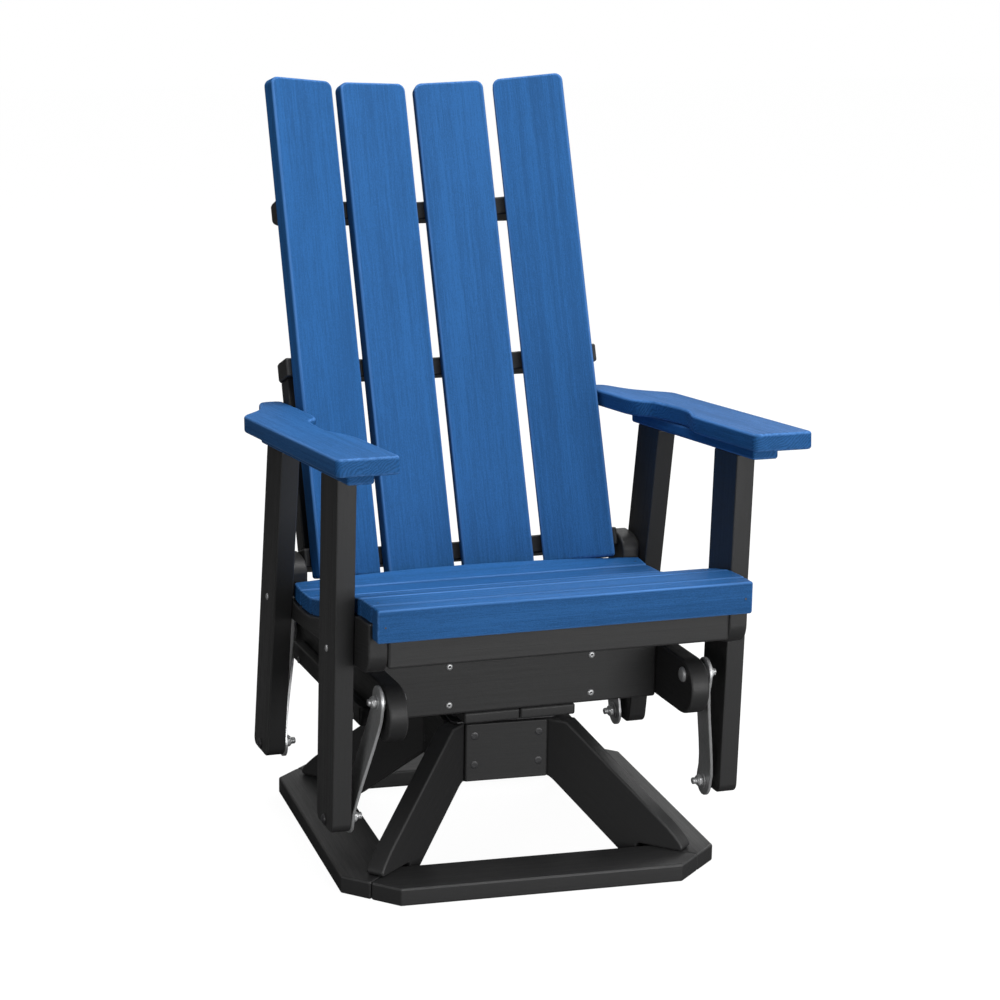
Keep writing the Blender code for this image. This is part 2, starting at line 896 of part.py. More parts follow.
def add_back_boards(kit, material):
    outline = rectangle(0, back_board_width, back_board_start, back_board_top)
    outline = clip_corners(outline, (2, 3), back_board_corner)
    for pair, (start, along) in zip(("inner", "outer"), board_corners()):
        for side, name in ((-1, "left"), (1, "right")):
            across = X_AXIS * side * along.x + back_out * along.y
            behind = back_up.cross(across) * side
            place = back_place(side * start.x, start.y, 0) + behind * (blue_board / 2)
            matrix = basis(across, back_up, place)
            slab(kit, "back_board_" + pair + "_" + name, outline, blue_board, matrix, material)


def add_rib(kit, name, half_length, place, material):
    """A rib across the back: its front edge follows the boards and its rear edge is straight."""
    (inner_start, inner_along), (outer_start, outer_along) = board_corners()
    inner_rise = inner_along.y / inner_along.x
    outer_rise = outer_along.y / outer_along.x
    inner_level = rear_of_boards(0)
    outer_level = outer_start.y - (blue_board + fit_gap) / outer_along.x - outer_start.x * outer_rise
    bend = (inner_level - outer_level) / (outer_rise - inner_rise)
    right = [
        (bend, rear_of_boards(bend)),
        (half_length, rear_of_boards(half_length)),
        (half_length, rib_corner - rib_back),
        (half_length - rib_corner, -rib_back),
    ]
    left = [(-across, depth) for across, depth in reversed(right)]
    outline = [(0, inner_level), *right, *left]
    matrix = basis(X_AXIS, back_out, back_place(0, 0, place + black_board / 2))
    slab(kit, name, outline, black_board, matrix, material)


def add_posts(kit, material):
    low = lower_rib_place + black_board + fit_gap
    high = middle_rib_place - fit_gap
    outline = rectangle(post_face - post_width, post_face, -post_rear, post_front)
    for side, name in ((-1, "left"), (1, "right")):
        mirrored = [(side * across, depth) for across, depth in outline]
        matrix = basis(X_AXIS, back_out, back_place(0, 0, (low + high) / 2))
        slab(kit, "back_post_" + name, mirrored, high - low, matrix, material)


def make_kit(parts, cutters, frame, from_axis):
    frame["from_axis"] = from_axis
    return {"parts": parts, "cutters": cutters, "frame": frame}


def build():
    clear_scene()
    parts = new_collection("swivel_rocking_chair")
    cutters = new_collection("cutters", hidden=True)
    black = surface("black lumber", (0.022, 0.022, 0.023), 0.55, 0)
    blue = surface("blue lumber", (0.032, 0.125, 0.33), 0.5, 0)
    steel = surface("zinc plated steel", (0.62, 0.63, 0.65), 0.32, 1)
    plate = surface("dark steel plate", (0.05, 0.05, 0.052), 0.45, 1)
    axis = (0, swivel_place, 0)
    base = make_kit(parts, cutters, new_frame(parts, "base_axis", axis, base_turn), (0, 0, 0))
    glider = make_kit(parts, cutters, new_frame(parts, "swivel_axis", axis), (0, 0, 0))
    pivot = (0, -low_pivot_reach, low_pivot_height)
    hanger = new_frame(parts, "seat_pivot", Vector(axis) + Vector(pivot))
    seat = make_kit(parts, cutters, hanger, pivot)

    add_ring(base, black)
    add_braces(base, black)
    add_hub(base, black)
    steel_plate(base, "swivel_lower_plate", lower_plate_size, lower_plate_bottom, plate)
    add_race(base, plate)
    steel_plate(glider, "swivel_upper_plate", upper_plate_size, upper_plate_bottom, plate)
    add_mount_boards(glider, black)
    add_beams(glider, black)
    add_glide_rails(glider, black)
    add_links(glider, steel)
    add_leg_bolts(seat, steel)
    add_side_rails(seat, black)
    add_front_boards(seat, black, blue)
    add_slats(seat, blue)
    add_legs(seat, black)
    add_arms(seat, blue)
    add_back_boards(seat, blue)
    add_rib(seat, "rib_lower", side_rail_inner - fit_gap, lower_rib_place, black)
    add_rib(seat, "rib_middle", side_rail_inner - middle_rib_inset, middle_rib_place, black)
    add_rib(seat, "rib_upper", upper_rib_half_length, upper_rib_place, black)
    add_posts(seat, black)


build()
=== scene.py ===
import math

import bpy
import numpy as np
from mathutils import Matrix, Vector


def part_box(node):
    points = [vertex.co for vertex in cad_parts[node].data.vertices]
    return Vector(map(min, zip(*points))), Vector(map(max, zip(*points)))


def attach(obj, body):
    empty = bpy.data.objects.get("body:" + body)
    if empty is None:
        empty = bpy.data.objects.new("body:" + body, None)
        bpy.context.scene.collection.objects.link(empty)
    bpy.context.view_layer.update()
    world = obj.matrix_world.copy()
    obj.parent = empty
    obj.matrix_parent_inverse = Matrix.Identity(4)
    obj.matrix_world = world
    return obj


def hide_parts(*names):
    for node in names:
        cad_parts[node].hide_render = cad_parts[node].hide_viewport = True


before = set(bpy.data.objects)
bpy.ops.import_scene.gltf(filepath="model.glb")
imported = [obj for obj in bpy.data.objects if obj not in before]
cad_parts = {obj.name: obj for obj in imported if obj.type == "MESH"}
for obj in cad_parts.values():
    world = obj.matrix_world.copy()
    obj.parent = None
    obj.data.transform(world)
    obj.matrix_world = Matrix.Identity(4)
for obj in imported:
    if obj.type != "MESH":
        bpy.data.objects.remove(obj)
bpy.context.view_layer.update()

bl_info = {
    "name": "Swivel rocking chair",
    "version": (1, 0, 0),
    "blender": (4, 5, 0),
    "location": "View3D > Sidebar > Rocking Chair",
    "description": "Dresses the packed frame of a lumber swivel rocking chair",
    "category": "Add Mesh",
}

MM = 0.001

# Boards of each group, by the names of the frame's nodes
SIDES = ("front", "right", "rear", "left")
CORNERS = ("front_left", "front_right", "rear_left", "rear_right")
BACK_BOARDS = ("back_board_outer_left", "back_board_inner_left",
               "back_board_inner_right", "back_board_outer_right")
ARM_BOARDS = ("arm_left", "arm_right", "arm_cleat_left", "arm_cleat_right")
PLAIN_SLATS = tuple(f"slat_{number}" for number in range(1, 8))
SEAT_FRAME = tuple("leg_" + corner for corner in CORNERS) + (
    "side_rail_left", "side_rail_right", "front_cross_rail", "rib_lower", "rib_middle",
    "rib_upper", "back_post_left", "back_post_right")
GLIDER_FRAME = ("mount_board_left", "mount_board_right", "beam_front", "beam_rear",
                "glide_rail_left", "glide_rail_right", "side_bar_left", "side_bar_right")
RING = tuple("ring_" + side for side in SIDES)
BRACES = tuple("brace_" + corner for corner in CORNERS)
HUB = tuple("hub_" + side for side in SIDES)
SWIVEL_PARTS = ("swivel_lower_plate", "swivel_bearing", "swivel_upper_plate")

# How a node's outline is read: the slope of a chamfer, and the sine of a turn under which two
# sides are moved as one
LEVEL_TOLERANCE = 0.05 * MM
CHAMFER_SLOPE = 0.2
NEARLY_STRAIGHT = 0.05
SAME_DISTANCE = 1e-9

# How a board's outline is softened
GENTLE_TURN = math.radians(60)
STRAIGHT_TURN = math.radians(1.5)
GENTLE_SIDE = 45 * MM
GENTLE_SHARE = 0.5
CLOSEST_POINTS = 0.6 * MM
CORNER_SHARE = 0.495
GENTLE_STEPS = 3
CORNER_STEPS = 5
ARRIS_STEPS = 4
UNCUT_ARRIS = 0.22
CORNER_OVER_ARRIS = 1.05
SAWN_TURN = math.sin(math.radians(3.5))

# Each board's grain starts elsewhere, by a number from its name times a step
GRAIN_STEP = np.array([0.37, 0.61, 0.83])
GRAIN_SEEDS = 97
SLAT_SEED, SCREW_SEED = 11, 5

# Finishes. A noise has its stretch along, across and through the grain, or in x, y and z, then
# its detail and its roughness.
NOISE_RANGE = (0.28, 0.72)
LUMBER_NOISES = {
    "streak": ((4.0, 210.0, 210.0), 3.0, 0.55), "brush": ((28.0, 1300.0, 1300.0), 2.0, 0.5),
    "cloud": ((3.0, 11.0, 11.0), 2.0, 0.5), "speckle": ((420.0, 900.0, 900.0), 1.0, 0.5),
    "band": ((1.4, 42.0, 42.0), 1.0, 0.5)}
TONE_WEIGHTS = {"streak": 0.20, "brush": 0.28, "cloud": 0.14, "speckle": 0.24, "band": 0.14}
RELIEF_WEIGHTS = {"streak": 0.45, "brush": 0.30, "speckle": 0.22}
TONE_RANGE = (0.36, 0.64)
ROUGH_RANGE, ROUGH_SPREAD = (0.3, 0.7), 0.07
# Pale arrises, partly wear and partly a painted highlight: the streak range that spreads them,
# their least share, and the pale colour
WEAR_AND_HIGHLIGHT_RANGE, LEAST_WEAR_AND_HIGHLIGHT = (0.1, 0.8), 0.35
PALE_SHARE, PALE_ADDED = 1.6, 0.03
SWIRL_BEND, SWIRL_BEND_SCALE = 0.036, 22.0
SWIRL_RINGS, SWIRL_DISTORTION, SWIRL_RELIEF = 74.0, 0.8, 2
SWIRL_RANGE = (0.1, 0.9)
# The strength of the pale arrises is wear and a painted highlight
LUMBER_FINISH = {
    "blue_lumber": {"contrast": 0.18, "wear_and_highlight": 1.0, "sheen": 0.12, "core": 0.30, "rough": 0.62},
    "black_lumber": {"contrast": 0.06, "wear_and_highlight": 0.35, "sheen": 0.30, "core": 0.04, "rough": 0.48}}
STEEL_FINISH = {
    "zinc_steel": {
        "noises": {"bloom": ((160.0, 160.0, 160.0), 3.0, 0.6),
                   "cloud": ((34.0, 34.0, 34.0), 2.0, 0.5),
                   "relief": ((900.0, 900.0, 120.0), 2.0, 0.5)},
        "weights": {"bloom": 0.5, "cloud": 0.5}, "tones": (0.80, 1.15), "rough": (0.48, 0.34),
        "metallic": 0.65, "bump": (0.4, 0.05 * MM)},
    "dark_steel": {
        "noises": {"cloud": ((26.0, 26.0, 26.0), 3.0, 0.5),
                   "relief": ((620.0, 620.0, 620.0), 2.0, 0.5)},
        "weights": {"cloud": 1.0}, "tones": (0.8, 1.25), "rough": (0.50, 0.38),
        "metallic": 0.0, "bump": (0.5, 0.08 * MM)}}

# Pivots, straps and turned steel, in the frame's metres: x along a pivot, then radii
TOP_PIVOT_Y = {"front": -0.30407, "rear": 0.19993}
LOW_PIVOT_Y = {"front": -0.24707, "rear": 0.14293}
TOP_PIVOT_Z = 0.317
LOW_PIVOT_Z = 0.115
STRAP_TOP_X, STRAP_LOW_X, STRAP_STRAIGHT = 0.2725, 0.3025, 22 * MM
STRAP_EASE, STRAP_EASE_SHARE, EVEN_JOG = 0.9 * MM, 0.6, 0.8
STRAP_STEPS, FIRST_BEND, LAST_BEND = 9, 10, 90
ROUND_SIDES, NUT_SIDES, NUT_STEPS = 32, 36, 9
NUT_FACE, NUT_SHOULDER = 0.94, 1.6
WASHER_EASE = 0.35 * MM
STEEL_SHARP, SCREW_SHARP = 38, 40
CORE_DEPTH, TIP_EASE = 0.8 * MM, 1.0 * MM
THREAD_DEPTH, THREAD_PITCH, THREAD_RIDGE = 0.75 * MM, 1.5 * MM, 0.62 * MM
THREAD_STEPS, RIDGE_SIDES = 20, 4
LINK_SHANK = (0.2345, 0.2892, 0.2899)
LINK_HEAD = ((0.2295, 4 * MM), (0.2300, 9.5 * MM), (0.2318, 11.8 * MM), (0.2336, 12.5 * MM),
             (0.2342, 12.3 * MM))
LINK_WASHERS = ((0.2658, 0.2678, 17 * MM), (0.2680, 0.2699, 14 * MM), (0.2750, 0.2769, 13 * MM))
LINK_NUT = (0.2770, 0.2838)
LINK_LIP = ((0.2838, 8.2 * MM), (0.2846, 8.2 * MM), (0.2852, 7.4 * MM))
LINK_THREAD = (0.2846, 0.0046)
LEG_SHANK = (0.2812, 0.2819, 0.3419)
LEG_WASHER = (0.3053, 0.3072, 15 * MM)
LEG_COLLAR = ((0.3072, 9 * MM), (0.3102, 9 * MM))
LEG_INNER_WASHER = (0.2977, 0.2996, 14 * MM)
LEG_NUT = (0.2904, 0.2976)
LEG_LIP = ((0.2892, 7.4 * MM), (0.2897, 8.2 * MM), (0.2904, 8.2 * MM))
LEG_HEAD = ((0.3417, 8.6 * MM), (0.3424, 8.8 * MM), (0.3440, 7.8 * MM), (0.3456, 5.6 * MM),
            (0.3465, 2.6 * MM))
LEG_THREAD = (0.2892, -0.0072)

# A screw's head of radius 1: radius, height and depth of the lobes of each ring
HEAD_RINGS = ((1.0, -0.15, 0), (1.0, 0.06, 0), (0.93, 0.20, 0), (0.70, 0.34, 0), (0.46, 0.40, 0),
              (0.38, 0.38, 0.18), (0.34, 0.05, 0.18))
HEAD_SIDES, HEAD_LOBES, SUNK_SHARE = 24, 6, 0.25
# A dark disc of painted shade in each recess: its radius and its two heights
RECESS_SHADE_RADIUS, RECESS_SHADE_HEIGHTS = 0.45, (0.02, 0.12)

# Places of the screws, in the frame's metres
SLAT_SCREW_INSET, SLAT_SCREW_SHARE = 15 * MM, 0.26
HUB_PLUG_REACH, HUB_PLUG_Z = 54 * MM, (0.143, 0.192)
BEAM_SCREW_X, BEAM_SCREW_Z = 0.1209, (0.2642, 0.3278)
BAR_SCREW_Y, BAR_SCREW_Z = (0.10643, -0.21057), 0.2671
LEG_SCREWS = ((-0.25867, 0.3951), (0.09403, 0.3842))
APRON_SCREW_X, APRON_SCREW_Z = 0.2925, 0.4628

# The stage: the camera's place and axes, each lamp's size and place, and the side from which
# the soft light is strongest, with the share of that direction at which it has faded
SENSOR_WIDTH = 36
CAMERA_PLACE = (-1.4720, -4.1770, 1.5944)
CAMERA_RIGHT, CAMERA_UP = (0.94221, -0.33464, 0.01596), (0.06234, 0.22192, 0.97307)
LAMPS = {"key": ((2.6, 2.6), (3.0, -3.6, 2.6)), "front": ((2.4, 1.2), (1.0, -3.6, 0.66)),
         "fill": ((1.8, 1.4), (-3.0, -1.7, 0.8)), "top": ((3.0, 3.0), (0.3, -0.4, 4.4)),
         "back": ((2.8, 2.0), (3.1, 3.0, 3.0))}
LAMP_AIM = (0, 0, 0.5)
LIGHT_SIDE, LIGHT_FADED = (0.80, 0.0, 0.60), -0.6
FLOOR_HALF, FLOOR_LEVEL = 14.0, -0.0005
FLOOR_PAPER, FLOOR_GLOW = (0.08, 0.08, 0.08, 1), 0.96

# Kinds of the numbers that a user may change
COLOUR = {"subtype": "COLOR", "min": 0, "max": 1}
LENGTH = {"subtype": "DISTANCE", "unit": "LENGTH"}
POWER = {"subtype": "POWER", "unit": "POWER"}


class LumberLook(bpy.types.PropertyGroup):
    """Colours and surface of the lumber boards."""

    blue: bpy.props.FloatVectorProperty(
        name="Seat and back colour", description="Colour of the slats, arms and back boards",
        default=(0.0125, 0.0745, 0.214), **COLOUR)
    black: bpy.props.FloatVectorProperty(
        name="Frame colour", description="Colour of the legs, rails and base",
        default=(0.020, 0.020, 0.0204), **COLOUR)
    soft_round: bpy.props.FloatProperty(
        name="Arm and back rounding", description="Arris radius of the arms and back boards, "
        "as a multiple of the chamfer", default=1.55, min=1.0, max=1.6)
    edge_round: bpy.props.FloatProperty(
        name="Board rounding", description="Arris radius of the other boards, as a multiple "
        "of the chamfer", default=1.2, min=1.0, max=1.6)
    corner: bpy.props.FloatProperty(
        name="Corner", description="Radius of a board's corners", default=4 * MM, **LENGTH)
    grain_depth: bpy.props.FloatProperty(
        name="Grain depth", description="Height of the grain for a full contrast of tone",
        default=2.0 * MM, **LENGTH)


class HardwareLook(bpy.types.PropertyGroup):
    """Sizes and colours of the links, bolts and screws."""

    zinc: bpy.props.FloatVectorProperty(
        name="Zinc", description="Colour of the plated steel",
        default=(0.50, 0.505, 0.51), **COLOUR)
    coated: bpy.props.FloatVectorProperty(
        name="Coated steel", description="Colour of the dark coated steel",
        default=(0.022, 0.022, 0.024), **COLOUR)
    strap_width: bpy.props.FloatProperty(
        name="Strap width", description="Width of a link's strap", default=50 * MM, **LENGTH)
    strap_thickness: bpy.props.FloatProperty(
        name="Strap thickness", description="Thickness of a link's strap",
        default=5 * MM, **LENGTH)
    bolt_radius: bpy.props.FloatProperty(
        name="Bolt radius", description="Radius of the pivot bolts", default=6 * MM, **LENGTH)
    nut_radius: bpy.props.FloatProperty(
        name="Nut radius", description="Radius of a nut over its corners",
        default=10.4 * MM, **LENGTH)
    screw_radius: bpy.props.FloatProperty(
        name="Screw radius", description="Radius of a frame screw's head",
        default=5.6 * MM, **LENGTH)
    slat_screw_radius: bpy.props.FloatProperty(
        name="Slat screw radius", description="Radius of a sunk slat screw's head",
        default=3.4 * MM, **LENGTH)
    plug_radius: bpy.props.FloatProperty(
        name="Plug radius", description="Radius of the hub's plugged screw holes",
        default=6.5 * MM, **LENGTH)


class StageLook(bpy.types.PropertyGroup):
    """Camera and lamps."""

    lens: bpy.props.FloatProperty(
        name="Lens", description="Focal length on a 36 mm sensor, in millimetres",
        default=99.64, min=20)
    key: bpy.props.FloatProperty(
        name="Key lamp", description="Power of the large lamp at the front right, in watts",
        default=26.0, **POWER)
    front: bpy.props.FloatProperty(
        name="Front lamp", description="Power of the low lamp in front, in watts",
        default=84.0, **POWER)
    fill: bpy.props.FloatProperty(
        name="Fill lamp", description="Power of the weak lamp at the left, in watts",
        default=22.0, **POWER)
    top: bpy.props.FloatProperty(
        name="Top lamp", description="Power of the lamp above the chair, in watts",
        default=250.0, **POWER)
    back: bpy.props.FloatProperty(
        name="Back lamp", description="Power of the lamp behind the chair, in watts",
        default=58.0, **POWER)
    around: bpy.props.FloatProperty(
        name="Light all round", description="Strength of the soft light, where it is strongest",
        default=0.70, min=0)
    shaded: bpy.props.FloatProperty(
        name="Shaded side", description="Share of that light that comes from the far side",
        default=0.05, min=0, max=1)


# Node trees


def add_node(tree, kind, settings=None, inputs=None):
    """Adds a node, sets its properties, and links or fills its inputs."""
    node = tree.nodes.new(kind)
    for name, value in (settings or {}).items():
        setattr(node, name, value)
    for name, value in (inputs or {}).items():
        if isinstance(value, bpy.types.NodeSocket):
            tree.links.new(value, node.inputs[name])
        else:
            node.inputs[name].default_value = value
    return node


def sums(tree, operation, first, second, clamp=False):
    """The result of a Math node on two values."""
    settings = {"operation": operation, "use_clamp": clamp}
    return add_node(tree, "ShaderNodeMath", settings, {0: first, 1: second}).outputs[0]


def blended(tree, factor, dark, light):
    """A colour between two others."""
    mix = add_node(tree, "ShaderNodeMix", {"data_type": "RGBA"}, {"Factor": factor})
    for socket, colour in ((mix.inputs[6], dark), (mix.inputs[7], light)):
        if isinstance(colour, bpy.types.NodeSocket):
            tree.links.new(colour, socket)
        else:
            socket.default_value = colour
    return mix.outputs[2]


def between(tree, value, low, high, new_low, new_high):
    """A value mapped from one range to another, and kept inside it."""
    inputs = {"Value": value, "From Min": low, "From Max": high, "To Min": new_low,
              "To Max": new_high}
    return add_node(tree, "ShaderNodeMapRange", None, inputs).outputs[0]


def stretched_noise(tree, place, stretch, detail, rough):
    """Noise drawn out along the grain, from about 0 to 1."""
    scaled = add_node(tree, "ShaderNodeVectorMath", {"operation": "MULTIPLY"},
                      {0: place, 1: stretch})
    noise = add_node(tree, "ShaderNodeTexNoise", None,
                     {"Vector": scaled.outputs[0], "Scale": 1.0, "Detail": detail,
                      "Roughness": rough})
    return between(tree, noise.outputs[0], *NOISE_RANGE, 0.0, 1.0)


def weighed(tree, values, weights):
    """The sum of named values, each times its weight."""
    total = 0.0
    for name, weight in weights.items():
        total = sums(tree, "ADD", sums(tree, "MULTIPLY", values[name], weight), total)
    return total


def add_relief(tree, shader, height, strength, depth):
    """Gives a shader a fine relief."""
    bump = add_node(tree, "ShaderNodeBump", None,
                    {"Strength": strength, "Distance": depth, "Height": height})
    tree.links.new(bump.outputs[0], shader.inputs["Normal"])


def shade(colour, share):
    """A colour made darker or lighter, with its alpha."""
    return tuple(min(1.0, part * share) for part in colour) + (1.0,)


def empty_tree(owner):
    """The cleared node tree of a material or a world."""
    owner.use_nodes = True
    owner.node_tree.nodes.clear()
    return owner.node_tree


def new_material(name):
    """An empty material, its tree and its Principled shader."""
    material = bpy.data.materials.new(name)
    tree = empty_tree(material)
    shader = add_node(tree, "ShaderNodeBsdfPrincipled")
    add_node(tree, "ShaderNodeOutputMaterial", None, {"Surface": shader.outputs[0]})
    return material, tree, shader


def grain_place(tree):
    """A board's own place along, across and through the grain."""
    own = add_node(tree, "ShaderNodeAttribute", {"attribute_name": "grain_place"})
    shift = add_node(tree, "ShaderNodeAttribute", {"attribute_name": "board_shift"})
    return add_node(tree, "ShaderNodeVectorMath", {"operation": "ADD"},
                    {0: own.outputs["Vector"], 1: shift.outputs["Vector"]}).outputs[0]


def swirl_lines(tree, place):
    """The curved lines that a saw leaves across the lumber's core."""
    bent = add_node(tree, "ShaderNodeTexNoise", None,
                    {"Vector": place, "Scale": SWIRL_BEND_SCALE, "Detail": 2.0})
    moved = add_node(tree, "ShaderNodeVectorMath", {"operation": "MULTIPLY_ADD"},
                     {0: bent.outputs["Color"], 1: (SWIRL_BEND,) * 3, 2: place})
    wave = add_node(tree, "ShaderNodeTexWave",
                    {"wave_type": "RINGS", "rings_direction": "SPHERICAL"},
                    {"Vector": moved.outputs[0], "Scale": SWIRL_RINGS,
                     "Distortion": SWIRL_DISTORTION, "Detail": 2.0})
    return between(tree, wave.outputs["Fac"], *SWIRL_RANGE, 0.0, 1.0)


def lumber_material(name, colour, grain_depth, contrast, wear_and_highlight, sheen, core, rough):
    """Brushed plastic lumber, with streaks along the grain, and arrises made paler by wear and by
    a painted highlight.
    """
    material, tree, shader = new_material(name)
    place = grain_place(tree)
    sawn, arris = (add_node(tree, "ShaderNodeAttribute", {"attribute_name": label}).outputs["Fac"]
                   for label in ("sawn", "arris"))
    noises = {label: stretched_noise(tree, place, *noise)
              for label, noise in LUMBER_NOISES.items()}
    swirl = sums(tree, "MULTIPLY", sums(tree, "SUBTRACT", swirl_lines(tree, place), 0.5), sawn)
    tone = sums(tree, "ADD", weighed(tree, noises, TONE_WEIGHTS),
                sums(tree, "MULTIPLY", swirl, core), True)
    face = blended(tree, between(tree, tone, *TONE_RANGE, 0.0, 1.0),
                   shade(colour, 1.0 - contrast), shade(colour, 1.0 + contrast))
    # Painted highlight with wear: the arrises blend toward a paler colour, more along some streaks
    wear_and_highlight_share = sums(tree, "MULTIPLY", arris,
                between(tree, noises["streak"], *WEAR_AND_HIGHLIGHT_RANGE, LEAST_WEAR_AND_HIGHLIGHT * wear_and_highlight, wear_and_highlight))
    pale = shade([part * PALE_SHARE + PALE_ADDED for part in colour], 1.0)
    tree.links.new(blended(tree, wear_and_highlight_share, face, pale), shader.inputs["Base Color"])
    tree.links.new(between(tree, tone, *ROUGH_RANGE, rough + ROUGH_SPREAD, rough - ROUGH_SPREAD),
                   shader.inputs["Roughness"])
    shader.inputs["Specular IOR Level"].default_value = sheen
    height = sums(tree, "ADD", weighed(tree, noises, RELIEF_WEIGHTS),
                  sums(tree, "MULTIPLY", swirl, core * SWIRL_RELIEF))
    add_relief(tree, shader, height, 1.0, grain_depth * contrast)
    return material


def steel_material(name, colour, noises, weights, tones, rough, metallic, bump):
    """Steel with a cloudy colour and gloss over a fine relief."""
    material, tree, shader = new_material(name)
    place = add_node(tree, "ShaderNodeTexCoord").outputs["Object"]
    values = {label: stretched_noise(tree, place, *noise) for label, noise in noises.items()}
    tone = weighed(tree, values, weights)
    dark, light = (shade(colour, share) for share in tones)
    tree.links.new(blended(tree, tone, dark, light), shader.inputs["Base Color"])
    tree.links.new(between(tree, tone, 0.0, 1.0, *rough), shader.inputs["Roughness"])
    shader.inputs["Metallic"].default_value = metallic
    add_relief(tree, shader, values["relief"], *bump)
    return material


def material_for(slot):
    """The material of one of the record's slots, made when it is first needed."""
    name = slot + "_finish"
    if name in bpy.data.materials:
        return bpy.data.materials[name]
    lumber, hardware = bpy.context.scene.chair_lumber, bpy.context.scene.chair_hardware
    colour = {"blue_lumber": lumber.blue, "black_lumber": lumber.black,
              "zinc_steel": hardware.zinc, "dark_steel": hardware.coated}[slot]
    if slot in STEEL_FINISH:
        return steel_material(name, colour, **STEEL_FINISH[slot])
    return lumber_material(name, colour, lumber.grain_depth, **LUMBER_FINISH[slot])


# Boards


def node_surface(name):
    """The joined corners and the triangles of a CAD node."""
    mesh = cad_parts[name].data
    places = np.empty(len(mesh.vertices) * 3)
    mesh.vertices.foreach_get("co", places)
    mesh.calc_loop_triangles()
    triangles = np.array([triangle.vertices[:] for triangle in mesh.loop_triangles])
    points, joined = np.unique(np.round(places.reshape(-1, 3), 6), axis=0, return_inverse=True)
    triangles = joined.reshape(-1)[triangles]
    whole = ((triangles[:, 0] != triangles[:, 1]) & (triangles[:, 1] != triangles[:, 2])
             & (triangles[:, 0] != triangles[:, 2]))
    return points, triangles[whole]


def face_normals(points, triangles):
    """The triangles' normals, each as long as twice its area."""
    corner = points[triangles]
    return np.cross(corner[:, 1] - corner[:, 0], corner[:, 2] - corner[:, 0])


def board_axes(points, triangles, flat=None, grain=None):
    """A board's directions along, across and through it."""
    normals = face_normals(points, triangles)
    spread = (normals.T / np.linalg.norm(normals, axis=1)) @ normals
    along, _, through = np.linalg.eigh(spread)[1].T
    through = through if flat is None else np.array(flat, float)
    along = along if grain is None else np.array(grain, float)
    along = along - through * (along @ through)
    along = along / np.linalg.norm(along)
    if along[np.argmax(np.abs(along))] < 0:
        along = -along
    if through[np.argmax(np.abs(through))] < 0:
        through = -through
    return np.array([along, np.cross(through, along), through])


def longest_loop(edges, points):
    """The longest way round of the closed chains of directed edges, as a list of corners."""
    following = dict(edges)
    loops = []
    while following:
        start = corner = next(iter(following))
        loop = []
        while corner in following:
            loop.append(corner)
            corner = following.pop(corner)
        if corner == start:
            loops.append(loop)
    return max(loops, key=lambda ring: np.linalg.norm(
        points[ring] - np.roll(points[ring], -1, axis=0), axis=1).sum())


def crossed(direction, other):
    """The cross product of two flat directions."""
    return direction[0] * other[1] - direction[1] * other[0]


def pushed(points, distances):
    """An outline whose sides have moved outward, each by its own distance."""
    following = np.roll(points, -1, axis=0)
    sides = following - points
    sides = sides / np.linalg.norm(sides, axis=1)[:, None]
    normals = np.stack([sides[:, 1], -sides[:, 0]], axis=1)
    moved = []
    for index, point in enumerate(points):
        before, after = normals[index - 1], normals[index]
        back, forward = distances[index - 1], distances[index]
        turn = crossed(before, after)
        if abs(turn) < NEARLY_STRAIGHT or abs(back - forward) < SAME_DISTANCE:
            middle = before + after
            moved.append(point + middle * (back + forward) / (middle @ middle))
        else:
            shift_x = back * after[1] - forward * before[1]
            shift_y = forward * before[0] - back * after[0]
            moved.append(point + np.array([shift_x, shift_y]) / turn)
    return np.array(moved)


def board_outline(points, triangles, axes):
    """A board's full outline, its sides' chamfer flags, its chamfer and its two faces' levels."""
    place = points @ axes.T
    levels = np.unique(place[:, 2])
    top, bottom = levels[-1], levels[0]
    chamfer = top - levels[levels < top - 4 * LEVEL_TOLERANCE].max()
    on_top = np.all(place[triangles][:, :, 2] > top - LEVEL_TOLERANCE, axis=1)
    normals = face_normals(points, triangles) @ axes.T
    slope = normals[:, 2] / np.linalg.norm(normals, axis=1)
    sides = {(triangle[step - 1], triangle[step]): value
             for triangle, value in zip(triangles[~on_top], slope[~on_top]) for step in range(3)}
    edges = [(triangle[step - 1], triangle[step])
             for triangle in triangles[on_top] for step in range(3)
             if (triangle[step], triangle[step - 1]) in sides]
    loop = longest_loop(edges, points)
    cut = [sides[(after, before)] > CHAMFER_SLOPE
           for before, after in zip(loop, loop[1:] + loop[:1])]
    flat_points = place[loop][:, :2]
    turn = crossed(flat_points.T, np.roll(flat_points, -1, axis=0).T).sum()
    if turn < 0:
        flat_points = flat_points[::-1]
        cut = cut[::-1][1:] + cut[::-1][:1]
    cut = np.array(cut, float)
    full = pushed(flat_points, cut * chamfer)
    return full, cut, chamfer, bottom, top


def corner_arc(before, here, after, reach, turn, steps):
    """Points of the arc that rounds a corner, from reach before it to reach after it."""
    first = (before - here) / np.linalg.norm(before - here)
    last = (after - here) / np.linalg.norm(after - here)
    radius = reach / math.tan(turn / 2)
    middle = first + last
    centre = here + middle / np.linalg.norm(middle) * radius / math.cos(turn / 2)
    start, end = here + first * reach - centre, here + last * reach - centre
    return [centre + (start * math.sin(turn * (1 - step / steps))
                      + end * math.sin(turn * step / steps)) / math.sin(turn)
            for step in range(steps + 1)]


